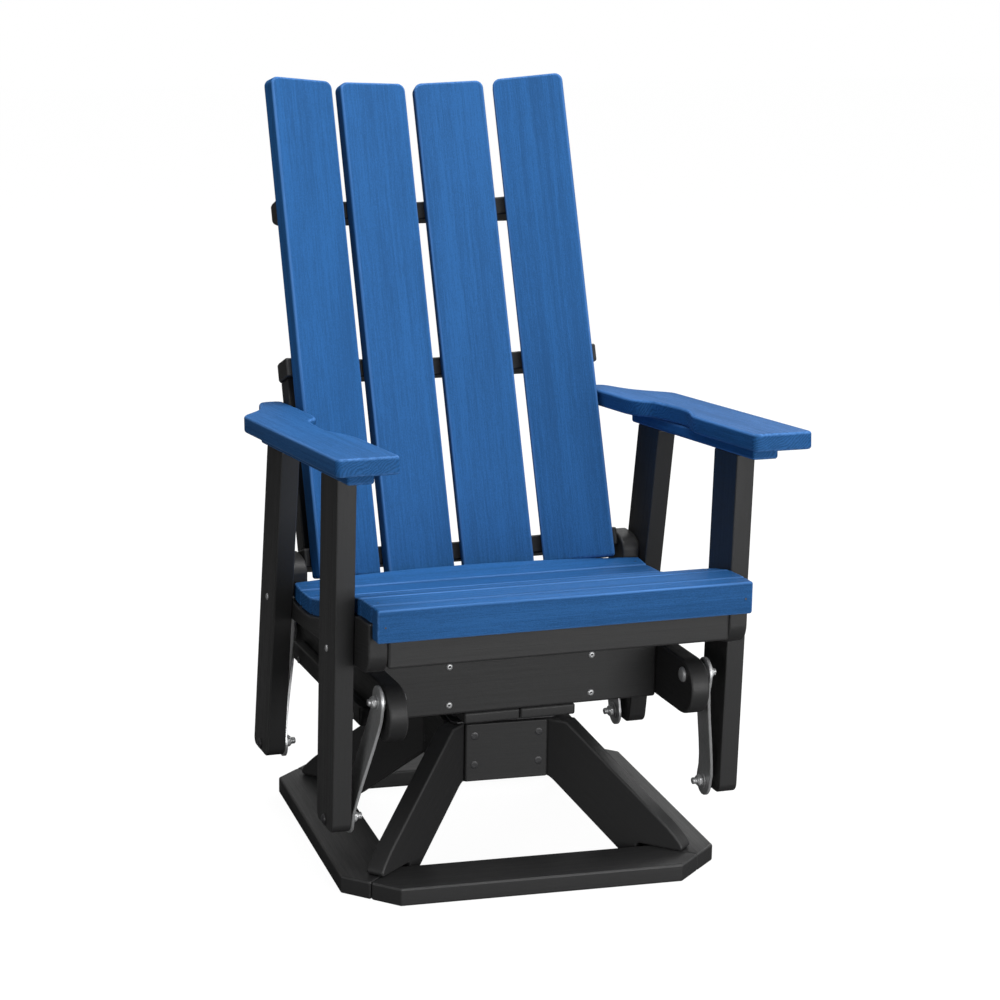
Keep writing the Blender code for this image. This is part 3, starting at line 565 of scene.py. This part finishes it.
def softened(points, cut, corner):
    """An outline with its gentle bends made curves and its cut corners rounded."""
    rounded, flags = [], []
    for index, here in enumerate(points):
        before, after = points[index - 1], points[(index + 1) % len(points)]
        back, forward = here - before, after - here
        shorter = min(np.linalg.norm(back), np.linalg.norm(forward))
        turn = abs(math.atan2(crossed(back, forward), back @ forward))
        both = cut[index - 1] and cut[index]
        if turn < STRAIGHT_TURN or not both:
            arc = [here]
        elif turn < GENTLE_TURN and shorter < GENTLE_SIDE:
            arc = corner_arc(before, here, after, GENTLE_SHARE * shorter, turn, GENTLE_STEPS)
        else:
            reach = min(CORNER_SHARE * shorter, corner * math.tan(turn / 2))
            arc = corner_arc(before, here, after, reach, turn, CORNER_STEPS)
        rounded.extend(arc)
        flags.extend([cut[index - 1]] * (len(arc) - 1) + [cut[index]])
    rounded, flags = np.array(rounded), np.array(flags)
    apart = np.linalg.norm(np.roll(rounded, -1, axis=0) - rounded, axis=1) > CLOSEST_POINTS
    return rounded[apart], flags[apart]


def tube_faces(count, rings):
    """The faces of a tube of rings of points: its two caps, then its sides ring by ring."""
    faces = [tuple(reversed(range(count))), tuple(range((rings - 1) * count, rings * count))]
    for low in range(0, (rings - 1) * count, count):
        for index in range(count):
            after = (index + 1) % count
            faces.append((low + index, low + after, low + count + after, low + count + index))
    return faces


def slab(outline, cut, arris, bottom, top):
    """Rings and faces of a board with rounded arrises: flat places, wear with painted highlight,
    sawn faces.
    """
    count = len(outline)
    turns = [math.pi / 2 * step / ARRIS_STEPS for step in range(ARRIS_STEPS + 1)]
    rings = [(bottom + arris * (1 - math.cos(turn)), arris * (1 - math.sin(turn)), turn)
             for turn in turns]
    rings += [(top + bottom - level, inset, turn) for level, inset, turn in reversed(rings)]
    share = np.where(cut > 0, 1.0, UNCUT_ARRIS)
    places, wear_and_highlight = [], []
    for level, inset, turn in rings:
        ring = pushed(outline, -share * inset)
        places.append(np.column_stack([ring, np.full(count, level)]))
        # Share of wear and painted highlight, strongest halfway round each arris
        wear_and_highlight.append(np.maximum(share, np.roll(share, 1)) * math.sin(2 * turn))
    sides = np.roll(outline, -1, axis=0) - outline
    off_grain = np.abs(sides[:, 1]) / np.linalg.norm(sides, axis=1) > SAWN_TURN
    sawn = [False, False] + list(off_grain) * (len(rings) - 1)
    return np.concatenate(places), np.concatenate(wear_and_highlight), tube_faces(count, len(rings)), sawn


def linked_piece(name, mesh):
    """A new object that shows a mesh."""
    piece = bpy.data.objects.new(name, mesh)
    bpy.context.scene.collection.objects.link(piece)
    return piece


def store(mesh, name, values, domain="POINT"):
    """Stores a number or a vector for each point or face of a mesh."""
    values = np.array(values, np.float32)
    kind, field = ("FLOAT_VECTOR", "vector") if values.ndim > 1 else ("FLOAT", "value")
    mesh.attributes.new(name, kind, domain).data.foreach_set(field, values.ravel())


def lumber_piece(name, places, wear_and_highlight, faces, sawn, axes, slot):
    """A board's mesh with the attributes that its material reads."""
    mesh = bpy.data.meshes.new(name)
    mesh.from_pydata((places @ axes).tolist(), [], faces)
    middle = (places.min(axis=0) + places.max(axis=0)) / 2
    seed = sum(ord(letter) * place for place, letter in enumerate(name, 3)) % GRAIN_SEEDS
    store(mesh, "grain_place", places - middle + GRAIN_STEP * seed)
    # The arrises' share of wear and painted highlight
    store(mesh, "arris", wear_and_highlight)
    store(mesh, "sawn", sawn, "FACE")
    mesh.polygons.foreach_set("use_smooth", [False, False] + [True] * (len(faces) - 2))
    mesh.materials.append(material_for(slot))
    mesh.update()
    return linked_piece(name, mesh)


def even_shading(piece):
    """Lets the large faces rule the shading beside rounded edges."""
    weighted = piece.modifiers.new("even_shading", "WEIGHTED_NORMAL")
    weighted.keep_sharp = True


def add_to_frame(piece, body, slot, *nodes):
    """Hands a finished piece to the frame, in place of nodes where it has any."""
    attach(piece, body)
    if nodes:
        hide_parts(*nodes)


def make_board(node, body, slot, flat=None, grain=None, rounding=None):
    """A board in place of a CAD node, with rounded arrises and a grain."""
    look = bpy.context.scene.chair_lumber
    points, triangles = node_surface(node)
    axes = board_axes(points, triangles, flat, grain)
    outline, cut, chamfer, bottom, top = board_outline(points, triangles, axes)
    arris = chamfer * (look.edge_round if rounding is None else rounding)
    outline, cut = softened(outline, cut, max(look.corner, arris * CORNER_OVER_ARRIS))
    piece = lumber_piece(node + "_board", *slab(outline, cut, arris, bottom, top), axes, slot)
    even_shading(piece)
    add_to_frame(piece, body, slot, node)


# Geometry Nodes


def new_tree(name, sockets):
    """An empty geometry tree with its named inputs, its input node and its output node."""
    tree = bpy.data.node_groups.new(name, "GeometryNodeTree")
    tree.interface.new_socket("Geometry", in_out="OUTPUT", socket_type="NodeSocketGeometry")
    for label, kind in sockets:
        tree.interface.new_socket(label, in_out="INPUT", socket_type=kind)
    return tree, add_node(tree, "NodeGroupInput"), add_node(tree, "NodeGroupOutput")


def named(tree, name, kind):
    """A stored attribute of the points."""
    return add_node(tree, "GeometryNodeInputNamedAttribute", {"data_type": kind},
                    {"Name": name}).outputs[0]


def finish_tree(tree, geometry, given, result):
    """Ends a tree in Realize Instances and Set Material."""
    real = add_node(tree, "GeometryNodeRealizeInstances", None, {"Geometry": geometry})
    finished = add_node(tree, "GeometryNodeSetMaterial", None,
                        {"Geometry": real.outputs[0], "Material": given.outputs["Finish"]})
    tree.links.new(finished.outputs[0], result.inputs[0])


def copies_tree():
    """A tree that puts a copy of one piece at each place, each with its own stretch of grain."""
    if "copies_at_places" in bpy.data.node_groups:
        return bpy.data.node_groups["copies_at_places"]
    tree, given, result = new_tree("copies_at_places", (
        ("Places", "NodeSocketGeometry"), ("Piece", "NodeSocketObject"),
        ("Size", "NodeSocketFloat"), ("Finish", "NodeSocketMaterial"), ("Seed", "NodeSocketInt")))
    piece = add_node(tree, "GeometryNodeObjectInfo", None, {"Object": given.outputs["Piece"]})
    turned = add_node(tree, "FunctionNodeEulerToRotation", None,
                      {"Euler": named(tree, "turn", "FLOAT_VECTOR")})
    sized = add_node(tree, "ShaderNodeVectorMath", {"operation": "SCALE"},
                     {0: named(tree, "stretch", "FLOAT_VECTOR"), "Scale": given.outputs["Size"]})
    copies = add_node(tree, "GeometryNodeInstanceOnPoints", None, {
        "Points": given.outputs["Places"], "Instance": piece.outputs["Geometry"],
        "Rotation": turned.outputs[0], "Scale": sized.outputs[0]})
    random = add_node(tree, "FunctionNodeRandomValue", {"data_type": "FLOAT_VECTOR"},
                      {0: (0.0, 0.0, 0.0), 1: (9.0, 9.0, 9.0), "Seed": given.outputs["Seed"]})
    stored = add_node(tree, "GeometryNodeStoreNamedAttribute",
                      {"data_type": "FLOAT_VECTOR", "domain": "INSTANCE"},
                      {"Geometry": copies.outputs[0], "Name": "board_shift",
                       "Value": random.outputs[0]})
    finish_tree(tree, stored.outputs[0], given, result)
    return tree


def thread_tree():
    """A tree that winds a screw thread round an axis at each place."""
    if "bolt_thread" in bpy.data.node_groups:
        return bpy.data.node_groups["bolt_thread"]
    tree, given, result = new_tree("bolt_thread", (
        ("Places", "NodeSocketGeometry"), ("Radius", "NodeSocketFloat"),
        ("Length", "NodeSocketFloat"), ("Turns", "NodeSocketFloat"),
        ("Ridge", "NodeSocketFloat"), ("Finish", "NodeSocketMaterial")))
    spiral = add_node(tree, "GeometryNodeCurveSpiral", None, {
        "Resolution": THREAD_STEPS, "Rotations": given.outputs["Turns"],
        "Start Radius": given.outputs["Radius"], "End Radius": given.outputs["Radius"],
        "Height": given.outputs["Length"]})
    ridge = add_node(tree, "GeometryNodeCurvePrimitiveCircle", {"mode": "RADIUS"},
                     {"Resolution": RIDGE_SIDES, "Radius": given.outputs["Ridge"]})
    wound = add_node(tree, "GeometryNodeCurveToMesh", None, {
        "Curve": spiral.outputs[0], "Profile Curve": ridge.outputs[0], "Fill Caps": True})
    turned = add_node(tree, "FunctionNodeEulerToRotation", None,
                      {"Euler": named(tree, "turn", "FLOAT_VECTOR")})
    copies = add_node(tree, "GeometryNodeInstanceOnPoints", None, {
        "Points": given.outputs["Places"], "Instance": wound.outputs[0],
        "Rotation": turned.outputs[0]})
    finish_tree(tree, copies.outputs[0], given, result)
    return tree


def places_object(places, turns, stretches=None):
    """A cloud of points that carry the turn and the stretch of each copy."""
    mesh = bpy.data.meshes.new("places")
    mesh.from_pydata([tuple(place) for place in places], [], [])
    store(mesh, "turn", [tuple(turn) for turn in turns])
    store(mesh, "stretch", stretches or [(1.0, 1.0, 1.0)] * len(places))
    return linked_piece("places", mesh)


def grown(name, tree, places, inputs):
    """The plain mesh that a tree makes from its places and inputs."""
    modifier = places.modifiers.new(name, "NODES")
    modifier.node_group = tree
    for socket in tree.interface.items_tree:
        if socket.in_out == "INPUT" and socket.name in inputs:
            modifier[socket.identifier] = inputs[socket.name]
    bpy.context.view_layer.update()
    evaluated = places.evaluated_get(bpy.context.evaluated_depsgraph_get())
    mesh = bpy.data.meshes.new_from_object(evaluated)
    mesh.name = name
    if not mesh.polygons:
        raise RuntimeError(f"{name}: the tree made no faces")
    bpy.data.objects.remove(places)
    return linked_piece(name, mesh)


# Round and lofted hardware


def smooth_piece(name, points, faces, sharp):
    """A new object with smooth faces, sharp where they meet at more than an angle in degrees."""
    mesh = bpy.data.meshes.new(name)
    mesh.from_pydata(points, [], faces)
    mesh.polygons.foreach_set("use_smooth", [True] * len(faces))
    mesh.update()
    mesh.set_sharp_from_angle(angle=math.radians(sharp))
    return linked_piece(name, mesh)


def circle(count):
    """Even turns round a circle."""
    return np.linspace(0, 2 * math.pi, count, endpoint=False)


class Hardware:
    """Collects turned and lofted shapes on an axis along x into one mesh."""

    def __init__(self, y=0.0, z=0.0, side=1):
        self.y, self.z, self.side = y, z, side
        self.points, self.faces = [], []

    def loft(self, rings):
        """Joins rings of equal count, closed at both ends; side -1 mirrors them in x."""
        start = len(self.points)
        for ring in rings:
            self.points.extend((self.side * x, y, z) for x, y, z in ring)
        first, last, *sides = tube_faces(len(rings[0]), len(rings))
        faces = [first[::-1], last[::-1]] + [(face[0],) + face[:0:-1] for face in sides]
        if self.side < 0:
            faces = [face[::-1] for face in faces]
        self.faces.extend(tuple(start + corner for corner in face) for face in faces)

    def ring(self, x, radii):
        """Points round the axis, one for each radius."""
        return [(x, self.y + radius * math.cos(turn), self.z + radius * math.sin(turn))
                for turn, radius in zip(circle(len(radii)), radii)]

    def turned(self, *profile):
        """A shape turned about the axis, from (x, radius) pairs."""
        self.loft([self.ring(x, [radius] * ROUND_SIDES) for x, radius in profile])

    def washer(self, start, end, radius):
        """A washer with eased edges."""
        self.turned((start, radius - WASHER_EASE), (start + WASHER_EASE, radius),
                    (end - WASHER_EASE, radius), (end, radius - WASHER_EASE))

    def nut(self, start, end, radius):
        """A hexagon nut, chamfered at both ends."""
        flat = radius * math.cos(math.pi / 6)
        hexagon = [flat / math.cos((turn + math.pi / 6) % (math.pi / 3) - math.pi / 6)
                   for turn in circle(NUT_SIDES)]
        step = (end - start) / NUT_STEPS
        limits = ((0, flat * NUT_FACE), (step, (flat + radius) / 2), (NUT_SHOULDER * step, radius))
        profile = [(start + x, limit) for x, limit in limits]
        profile += [(end - x, limit) for x, limit in reversed(limits)]
        self.loft([self.ring(x, [min(limit, part) for part in hexagon]) for x, limit in profile])

    def piece(self, name, slot):
        """The collected shapes as an object."""
        piece = smooth_piece(name, self.points, self.faces, STEEL_SHARP)
        piece.data.materials.append(material_for(slot))
        return piece


def strap_section(x, y, z, across, half, thickness):
    """The rounded section of a strap, half wide to each side of its middle line."""
    ease = min(STRAP_EASE, half * STRAP_EASE_SHARE)
    deep = thickness / 2
    ring = ((half - ease, deep), (half, deep - ease), (half, ease - deep), (half - ease, -deep),
            (ease - half, -deep), (-half, ease - deep), (-half, deep - ease), (ease - half, deep))
    return [(x + out, y + across[0] * part, z + across[1] * part) for part, out in ring]


def strap_rings(look, top, low):
    """Sections of a jogged strap from beyond its top pivot to beyond its low one."""
    run = np.array(low) - np.array(top)
    length = np.linalg.norm(run)
    run = run / length
    across = (-run[1], run[0])
    end = look.strap_width / 2
    bends = np.radians(np.linspace(FIRST_BEND, LAST_BEND, STRAP_STEPS))
    jog = np.linspace(STRAP_STRAIGHT, length - STRAP_STRAIGHT, STRAP_STEPS)
    stations = [(-end * math.cos(turn), end * math.sin(turn)) for turn in bends]
    stations += [(place, end) for place in jog]
    stations += [(length + end * math.cos(turn), end * math.sin(turn)) for turn in bends[::-1]]
    rings = []
    for place, half in stations:
        share = min(1.0, max(0.0, (place - STRAP_STRAIGHT) / (length - 2 * STRAP_STRAIGHT)))
        share = share * EVEN_JOG + (1 - EVEN_JOG) * share * share * (3 - 2 * share)
        x = STRAP_TOP_X + (STRAP_LOW_X - STRAP_TOP_X) * share
        rings.append(strap_section(x, top[0] + run[0] * place, top[1] + run[1] * place, across,
                                   half, look.strap_thickness))
    return rings


def thread_piece(name, body, start, length, axis):
    """A thread on a bolt's tail, from start outward or inward by length."""
    radius = bpy.context.scene.chair_hardware.bolt_radius - THREAD_DEPTH
    turn = (0.0, math.copysign(math.pi / 2, length * axis.side), 0.0)
    places = places_object([(axis.side * start, axis.y, axis.z)], [turn])
    piece = grown(name, thread_tree(), places, {
        "Radius": radius, "Length": abs(length), "Turns": abs(length) / THREAD_PITCH,
        "Ridge": THREAD_RIDGE, "Finish": material_for("zinc_steel")})
    add_to_frame(piece, body, "zinc_steel")


def make_link(corner):
    """A steel strap with its upper pivot bolt, washers and nut."""
    look = bpy.context.scene.chair_hardware
    end, hand = corner.split("_")
    parts = Hardware(TOP_PIVOT_Y[end], TOP_PIVOT_Z, 1 if hand == "right" else -1)
    rings = strap_rings(look, (parts.y, parts.z), (LOW_PIVOT_Y[end], LOW_PIVOT_Z))
    parts.loft([ring[::-1] for ring in rings] if end == "rear" else rings)
    core = look.bolt_radius - CORE_DEPTH
    head_end, near_tip, tip = LINK_SHANK
    parts.turned((head_end, core), (near_tip, core), (tip, core - TIP_EASE))
    parts.turned(*LINK_HEAD)
    for washer in LINK_WASHERS:
        parts.washer(*washer)
    parts.nut(*LINK_NUT, look.nut_radius)
    parts.turned(*LINK_LIP, (LINK_LIP[-1][0], core))
    piece = parts.piece(f"link_{corner}_strap", "zinc_steel")
    body = "link_" + corner
    add_to_frame(piece, body, "zinc_steel", body)
    thread_piece(f"link_{corner}_thread", body, *LINK_THREAD, parts)


def make_leg_bolt(corner):
    """The lower pivot bolt, held in the leg, with its head, collar, washer and nut."""
    look = bpy.context.scene.chair_hardware
    end, hand = corner.split("_")
    parts = Hardware(LOW_PIVOT_Y[end], LOW_PIVOT_Z, 1 if hand == "right" else -1)
    core = look.bolt_radius - CORE_DEPTH
    tip, near_tip, head_end = LEG_SHANK
    parts.turned((tip, core - TIP_EASE), (near_tip, core), (head_end, core))
    parts.washer(*LEG_WASHER)
    parts.turned(*LEG_COLLAR)
    parts.washer(*LEG_INNER_WASHER)
    parts.nut(*LEG_NUT, look.nut_radius)
    parts.turned(*LEG_LIP)
    piece = parts.piece(f"leg_bolt_{corner}_steel", "zinc_steel")
    add_to_frame(piece, "seat", "zinc_steel", "leg_bolt_" + corner)
    thread_piece(f"leg_bolt_{corner}_thread", "seat", *LEG_THREAD, parts)
    head = Hardware(parts.y, parts.z, parts.side)
    head.turned(*LEG_HEAD)
    add_to_frame(head.piece(f"leg_bolt_{corner}_head", "dark_steel"), "seat", "dark_steel")


# Screws


def screw_head(domed):
    """A screw's head of radius 1 with a six-lobed recess, standing on z = 0."""
    points = []
    for radius, height, lobes in HEAD_RINGS:
        height = height if domed else height * SUNK_SHARE
        for turn in circle(HEAD_SIDES):
            reach = radius * (1 + lobes * math.cos(HEAD_LOBES * turn))
            points.append((reach * math.cos(turn), reach * math.sin(turn), height))
    faces = tube_faces(HEAD_SIDES, len(HEAD_RINGS))
    return smooth_piece("screw_head", points, faces, SCREW_SHARP)


def facing(direction):
    """The turn that points a screw's head along a direction."""
    return Vector(direction).to_track_quat("Z", "Y").to_euler()


def screw_socket():
    """A dark disc on the floor of a screw's recess, painted shade of the recess, for a head of
    radius 1.
    """
    parts = Hardware()
    parts.loft([[(RECESS_SHADE_RADIUS * math.cos(turn), RECESS_SHADE_RADIUS * math.sin(turn), height)
                 for turn in np.linspace(2 * math.pi, 0, HEAD_SIDES, endpoint=False)]
                for height in RECESS_SHADE_HEIGHTS])
    return parts.piece("screw_socket", "dark_steel")


def copied(name, body, slot, radius, spots, shape):
    """Copies of a shape at (place, direction) spots, as one piece on one body."""
    places = places_object([place for place, _ in spots],
                           [facing(direction) for _, direction in spots])
    piece = grown(name, copies_tree(), places, {
        "Piece": shape, "Size": radius, "Finish": material_for(slot), "Seed": SCREW_SEED})
    bpy.data.objects.remove(shape)
    add_to_frame(piece, body, slot)


def make_screws(name, body, radius, spots, domed=True):
    """Plated domed heads, or sunk heads in the slats' colour, with dark discs of painted shade in
    their recesses.
    """
    head = "zinc_steel" if domed else "blue_lumber"
    copied(name + "_heads", body, head, radius, spots, screw_head(domed))
    # Dark discs in the recesses: painted shade
    copied(name + "_sockets", body, "dark_steel", radius, spots, screw_socket())


def both_sides(spots):
    """The spots and their mirror images in x."""
    return spots + [((-x, y, z), (-dx, dy, dz)) for (x, y, z), (dx, dy, dz) in spots]


def slat_spots():
    """A sunk screw near each end of each slat, at a quarter of its depth from its front."""
    spots = []
    for name in PLAIN_SLATS + ("slat_8",):
        points, triangles = node_surface(name)
        axes = board_axes(points, triangles)
        low, high = (points @ axes.T).min(axis=0), (points @ axes.T).max(axis=0)
        front, back = (low[1], high[1]) if axes[1][1] > 0 else (high[1], low[1])
        for place in (low[0] + SLAT_SCREW_INSET, high[0] - SLAT_SCREW_INSET):
            spot = np.array([place, front + SLAT_SCREW_SHARE * (back - front), high[2]]) @ axes
            spots.append((tuple(spot), tuple(axes[2])))
    return spots


def hub_spots():
    """Two plugged holes near each end of each hub board, on its outer face."""
    spots = []
    for name in HUB:
        points, triangles = node_surface(name)
        along, _, _ = board_axes(points, triangles, flat=(0, 0, 1))
        outward = np.array([along[1], -along[0], 0.0])
        if outward @ points.mean(axis=0) < 0:
            outward = -outward
        middle = ((points @ along).max() + (points @ along).min()) / 2
        for place in (middle - HUB_PLUG_REACH, middle + HUB_PLUG_REACH):
            for height in HUB_PLUG_Z:
                spot = along * place + outward * (points @ outward).max() + (0, 0, height)
                spots.append((tuple(spot), tuple(outward)))
    return spots


# Operators


class Undoable:
    """What the chair's operators share."""

    bl_options = {"REGISTER", "UNDO"}


class CHAIR_OT_seat_slats(Undoable, bpy.types.Operator):
    """Makes the apron and the eight slats of the seat"""

    bl_idname = "chair.seat_slats"
    bl_label = "Seat slats"

    def execute(self, context):
        look = context.scene.chair_lumber
        measured = []
        for name in PLAIN_SLATS:
            points, triangles = node_surface(name)
            axes = board_axes(points, triangles)
            measured.append((axes, *board_outline(points, triangles, axes)))
        _, outline, cut, chamfer, bottom, top = measured[-1]
        middle = (outline.min(axis=0) + outline.max(axis=0)) / 2
        outline, cut = softened(outline - middle, cut, look.corner)
        half = (top - bottom) / 2
        slat = lumber_piece("slat", *slab(outline, cut, chamfer * look.edge_round, -half, half),
                            np.eye(3), "blue_lumber")
        depth = np.ptp(outline[:, 1])
        places, turns, stretches = [], [], []
        for axes, outline, _, _, bottom, top in measured:
            middle = (outline.min(axis=0) + outline.max(axis=0)) / 2
            places.append(np.array([*middle, (bottom + top) / 2]) @ axes)
            turns.append(Matrix(axes.T.tolist()).to_euler())
            stretches.append((1.0, np.ptp(outline[:, 1]) / depth, 1.0))
        piece = grown("seat_slats", copies_tree(), places_object(places, turns, stretches), {
            "Piece": slat, "Size": 1.0, "Finish": material_for("blue_lumber"),
            "Seed": SLAT_SEED})
        bpy.data.objects.remove(slat)
        even_shading(piece)
        add_to_frame(piece, "seat", "blue_lumber", *PLAIN_SLATS)
        make_board("slat_8", "seat", "blue_lumber")
        make_board("apron", "seat", "blue_lumber")
        return {"FINISHED"}


class CHAIR_OT_back_boards(Undoable, bpy.types.Operator):
    """Makes the four fanned boards of the back"""

    bl_idname = "chair.back_boards"
    bl_label = "Back boards"

    def execute(self, context):
        rounding = context.scene.chair_lumber.soft_round
        for name in BACK_BOARDS:
            make_board(name, "seat", "blue_lumber", rounding=rounding)
        return {"FINISHED"}


class CHAIR_OT_arms(Undoable, bpy.types.Operator):
    """Makes the arms and the cleats under them"""

    bl_idname = "chair.arms"
    bl_label = "Arms"

    def execute(self, context):
        rounding = context.scene.chair_lumber.soft_round
        for name in ARM_BOARDS:
            make_board(name, "seat", "blue_lumber", grain=(0, 1, 0), rounding=rounding)
        return {"FINISHED"}


class CHAIR_OT_seat_frame(Undoable, bpy.types.Operator):
    """Makes the legs, rails, ribs and posts of the seat"""

    bl_idname = "chair.seat_frame"
    bl_label = "Seat frame"

    def execute(self, context):
        for name in SEAT_FRAME:
            make_board(name, "seat", "black_lumber")
        return {"FINISHED"}


class CHAIR_OT_glider_frame(Undoable, bpy.types.Operator):
    """Makes the frame that turns on the swivel"""

    bl_idname = "chair.glider_frame"
    bl_label = "Glider frame"

    def execute(self, context):
        for name in GLIDER_FRAME:
            make_board(name, "swivel_frame", "black_lumber")
        return {"FINISHED"}


class CHAIR_OT_base(Undoable, bpy.types.Operator):
    """Makes the base's ring, braces and hub, and finishes the swivel"""

    bl_idname = "chair.base"
    bl_label = "Base"

    def execute(self, context):
        for name in RING + BRACES:
            make_board(name, "base", "black_lumber")
        for name in HUB:
            make_board(name, "base", "black_lumber", flat=(0, 0, 1))
        for name in SWIVEL_PARTS:
            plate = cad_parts[name]
            plate.data.materials.clear()
            plate.data.materials.append(material_for("dark_steel"))
        return {"FINISHED"}


class CHAIR_OT_links(Undoable, bpy.types.Operator):
    """Makes the four steel links and their bolts"""

    bl_idname = "chair.links"
    bl_label = "Links and bolts"

    def execute(self, context):
        for corner in CORNERS:
            make_link(corner)
            make_leg_bolt(corner)
        return {"FINISHED"}


class CHAIR_OT_screws(Undoable, bpy.types.Operator):
    """Sets the screws of the boards"""

    bl_idname = "chair.screws"
    bl_label = "Screws"

    def execute(self, context):
        look = context.scene.chair_hardware
        make_screws("slat_screws", "seat", look.slat_screw_radius, slat_spots(), False)
        front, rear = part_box("beam_front")[0][1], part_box("beam_rear")[1][1]
        spots = []
        for height in BEAM_SCREW_Z:
            spots.append(((BEAM_SCREW_X, front, height), (0, -1, 0)))
            spots.append(((BEAM_SCREW_X, rear, height), (0, 1, 0)))
        bar_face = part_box("side_bar_right")[1][0]
        spots += [((bar_face, y, BAR_SCREW_Z), (1, 0, 0)) for y in BAR_SCREW_Y]
        make_screws("glider_screws", "swivel_frame", look.screw_radius, both_sides(spots))
        leg_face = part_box("leg_front_right")[1][0]
        spots = [((leg_face, y, z), (1, 0, 0)) for y, z in LEG_SCREWS]
        make_screws("leg_screws", "seat", look.screw_radius, both_sides(spots))
        apron_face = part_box("apron")[0][1]
        spots = both_sides([((APRON_SCREW_X, apron_face, APRON_SCREW_Z), (0, -1, 0))])
        make_screws("apron_screws", "seat", look.slat_screw_radius, spots, False)
        copied("hub_plugs", "base", "dark_steel", look.plug_radius, hub_spots(), screw_head(False))
        return {"FINISHED"}


class CHAIR_OT_stage(Undoable, bpy.types.Operator):
    """Sets the camera, the lamps and the white floor"""

    bl_idname = "chair.stage"
    bl_label = "Stage"

    def execute(self, context):
        look = context.scene.chair_stage
        context.scene.view_settings.view_transform = "Standard"
        make_camera(look)
        for name, (size, place) in LAMPS.items():
            make_lamp(name + "_lamp", getattr(look, name), size, place)
        make_surroundings(look)
        make_floor()
        return {"FINISHED"}


def make_camera(look):
    """The camera at the photograph's place."""
    camera = bpy.data.cameras.new("camera")
    camera.sensor_width = SENSOR_WIDTH
    camera.lens = look.lens
    holder = linked_piece("camera", camera)
    right, up = Vector(CAMERA_RIGHT), Vector(CAMERA_UP)
    turn = Matrix((right, up, right.cross(up))).transposed()
    holder.matrix_world = Matrix.Translation(CAMERA_PLACE) @ turn.to_4x4()
    bpy.context.scene.camera = holder


def make_lamp(name, power, size, place):
    """A large rectangular lamp that faces the chair."""
    lamp = bpy.data.lights.new(name, "AREA")
    lamp.energy = power
    lamp.shape = "RECTANGLE"
    lamp.size, lamp.size_y = size
    holder = linked_piece(name, lamp)
    holder.visible_camera = False
    holder.location = place
    aim = Vector(LAMP_AIM) - Vector(place)
    holder.rotation_euler = aim.to_track_quat("-Z", "Y").to_euler()


def seen_directly(tree):
    """1 for rays from the camera and through glass, else 0."""
    path = add_node(tree, "ShaderNodeLightPath").outputs
    return sums(tree, "ADD", path["Is Camera Ray"], path["Is Transmission Ray"], True)


def make_surroundings(look):
    """A world that looks white and lights the chair softly, mostly from the right and above."""
    world = bpy.data.worlds.new("surroundings")
    bpy.context.scene.world = world
    tree = empty_tree(world)
    direction = add_node(tree, "ShaderNodeTexCoord").outputs["Generated"]
    facing_light = add_node(tree, "ShaderNodeVectorMath", {"operation": "DOT_PRODUCT"},
                            {0: direction, 1: LIGHT_SIDE}).outputs["Value"]
    soft = between(tree, facing_light, LIGHT_FADED, 1.0, look.around * look.shaded, look.around)
    strength = between(tree, seen_directly(tree), 0.0, 1.0, soft, 1.0)
    light = add_node(tree, "ShaderNodeBackground", None,
                     {"Color": (1, 1, 1, 1), "Strength": strength})
    add_node(tree, "ShaderNodeOutputWorld", None, {"Surface": light.outputs[0]})


def make_floor():
    """A white floor that keeps the chair's soft shadow."""
    mesh = bpy.data.meshes.new("floor")
    mesh.from_pydata([(x * FLOOR_HALF, y * FLOOR_HALF, FLOOR_LEVEL)
                      for x, y in ((-1, -1), (1, -1), (1, 1), (-1, 1))], [], [(0, 1, 2, 3)])
    material = bpy.data.materials.new("floor_paper")
    tree = empty_tree(material)
    paper = add_node(tree, "ShaderNodeBsdfDiffuse", None, {"Color": FLOOR_PAPER})
    glow = add_node(tree, "ShaderNodeEmission", None,
                    {"Strength": between(tree, seen_directly(tree), 0.0, 1.0, 0.0, FLOOR_GLOW)})
    both = add_node(tree, "ShaderNodeAddShader", None, {0: paper.outputs[0], 1: glow.outputs[0]})
    add_node(tree, "ShaderNodeOutputMaterial", None, {"Surface": both.outputs[0]})
    mesh.materials.append(material)
    linked_piece("floor", mesh)


OPERATORS = (CHAIR_OT_seat_slats, CHAIR_OT_back_boards, CHAIR_OT_arms, CHAIR_OT_seat_frame,
             CHAIR_OT_glider_frame, CHAIR_OT_base, CHAIR_OT_links, CHAIR_OT_screws,
             CHAIR_OT_stage)


class CHAIR_PT_build(bpy.types.Panel):
    """Lists the chair's pieces and their sizes and colours"""

    bl_idname = "CHAIR_PT_build"
    bl_label = "Rocking Chair"
    bl_space_type = "VIEW_3D"
    bl_region_type = "UI"
    bl_category = "Rocking Chair"

    def draw(self, context):
        for group in (context.scene.chair_lumber, context.scene.chair_hardware,
                      context.scene.chair_stage):
            box = self.layout.box()
            for name in group.bl_rna.properties.keys():
                if name not in {"rna_type", "name"}:
                    box.prop(group, name)
        for operator in OPERATORS:
            self.layout.operator(operator.bl_idname)


CLASSES = (LumberLook, HardwareLook, StageLook) + OPERATORS + (CHAIR_PT_build,)


def register():
    for part in CLASSES:
        bpy.utils.register_class(part)
    bpy.types.Scene.chair_lumber = bpy.props.PointerProperty(type=LumberLook)
    bpy.types.Scene.chair_hardware = bpy.props.PointerProperty(type=HardwareLook)
    bpy.types.Scene.chair_stage = bpy.props.PointerProperty(type=StageLook)


def unregister():
    del bpy.types.Scene.chair_stage
    del bpy.types.Scene.chair_hardware
    del bpy.types.Scene.chair_lumber
    for part in reversed(CLASSES):
        bpy.utils.unregister_class(part)


def main():
    """Builds the chair and its stage."""
    register()
    for operator in OPERATORS:
        group, name = operator.bl_idname.split(".")
        getattr(getattr(bpy.ops, group), name)()


if __name__ == "__main__":
    main()
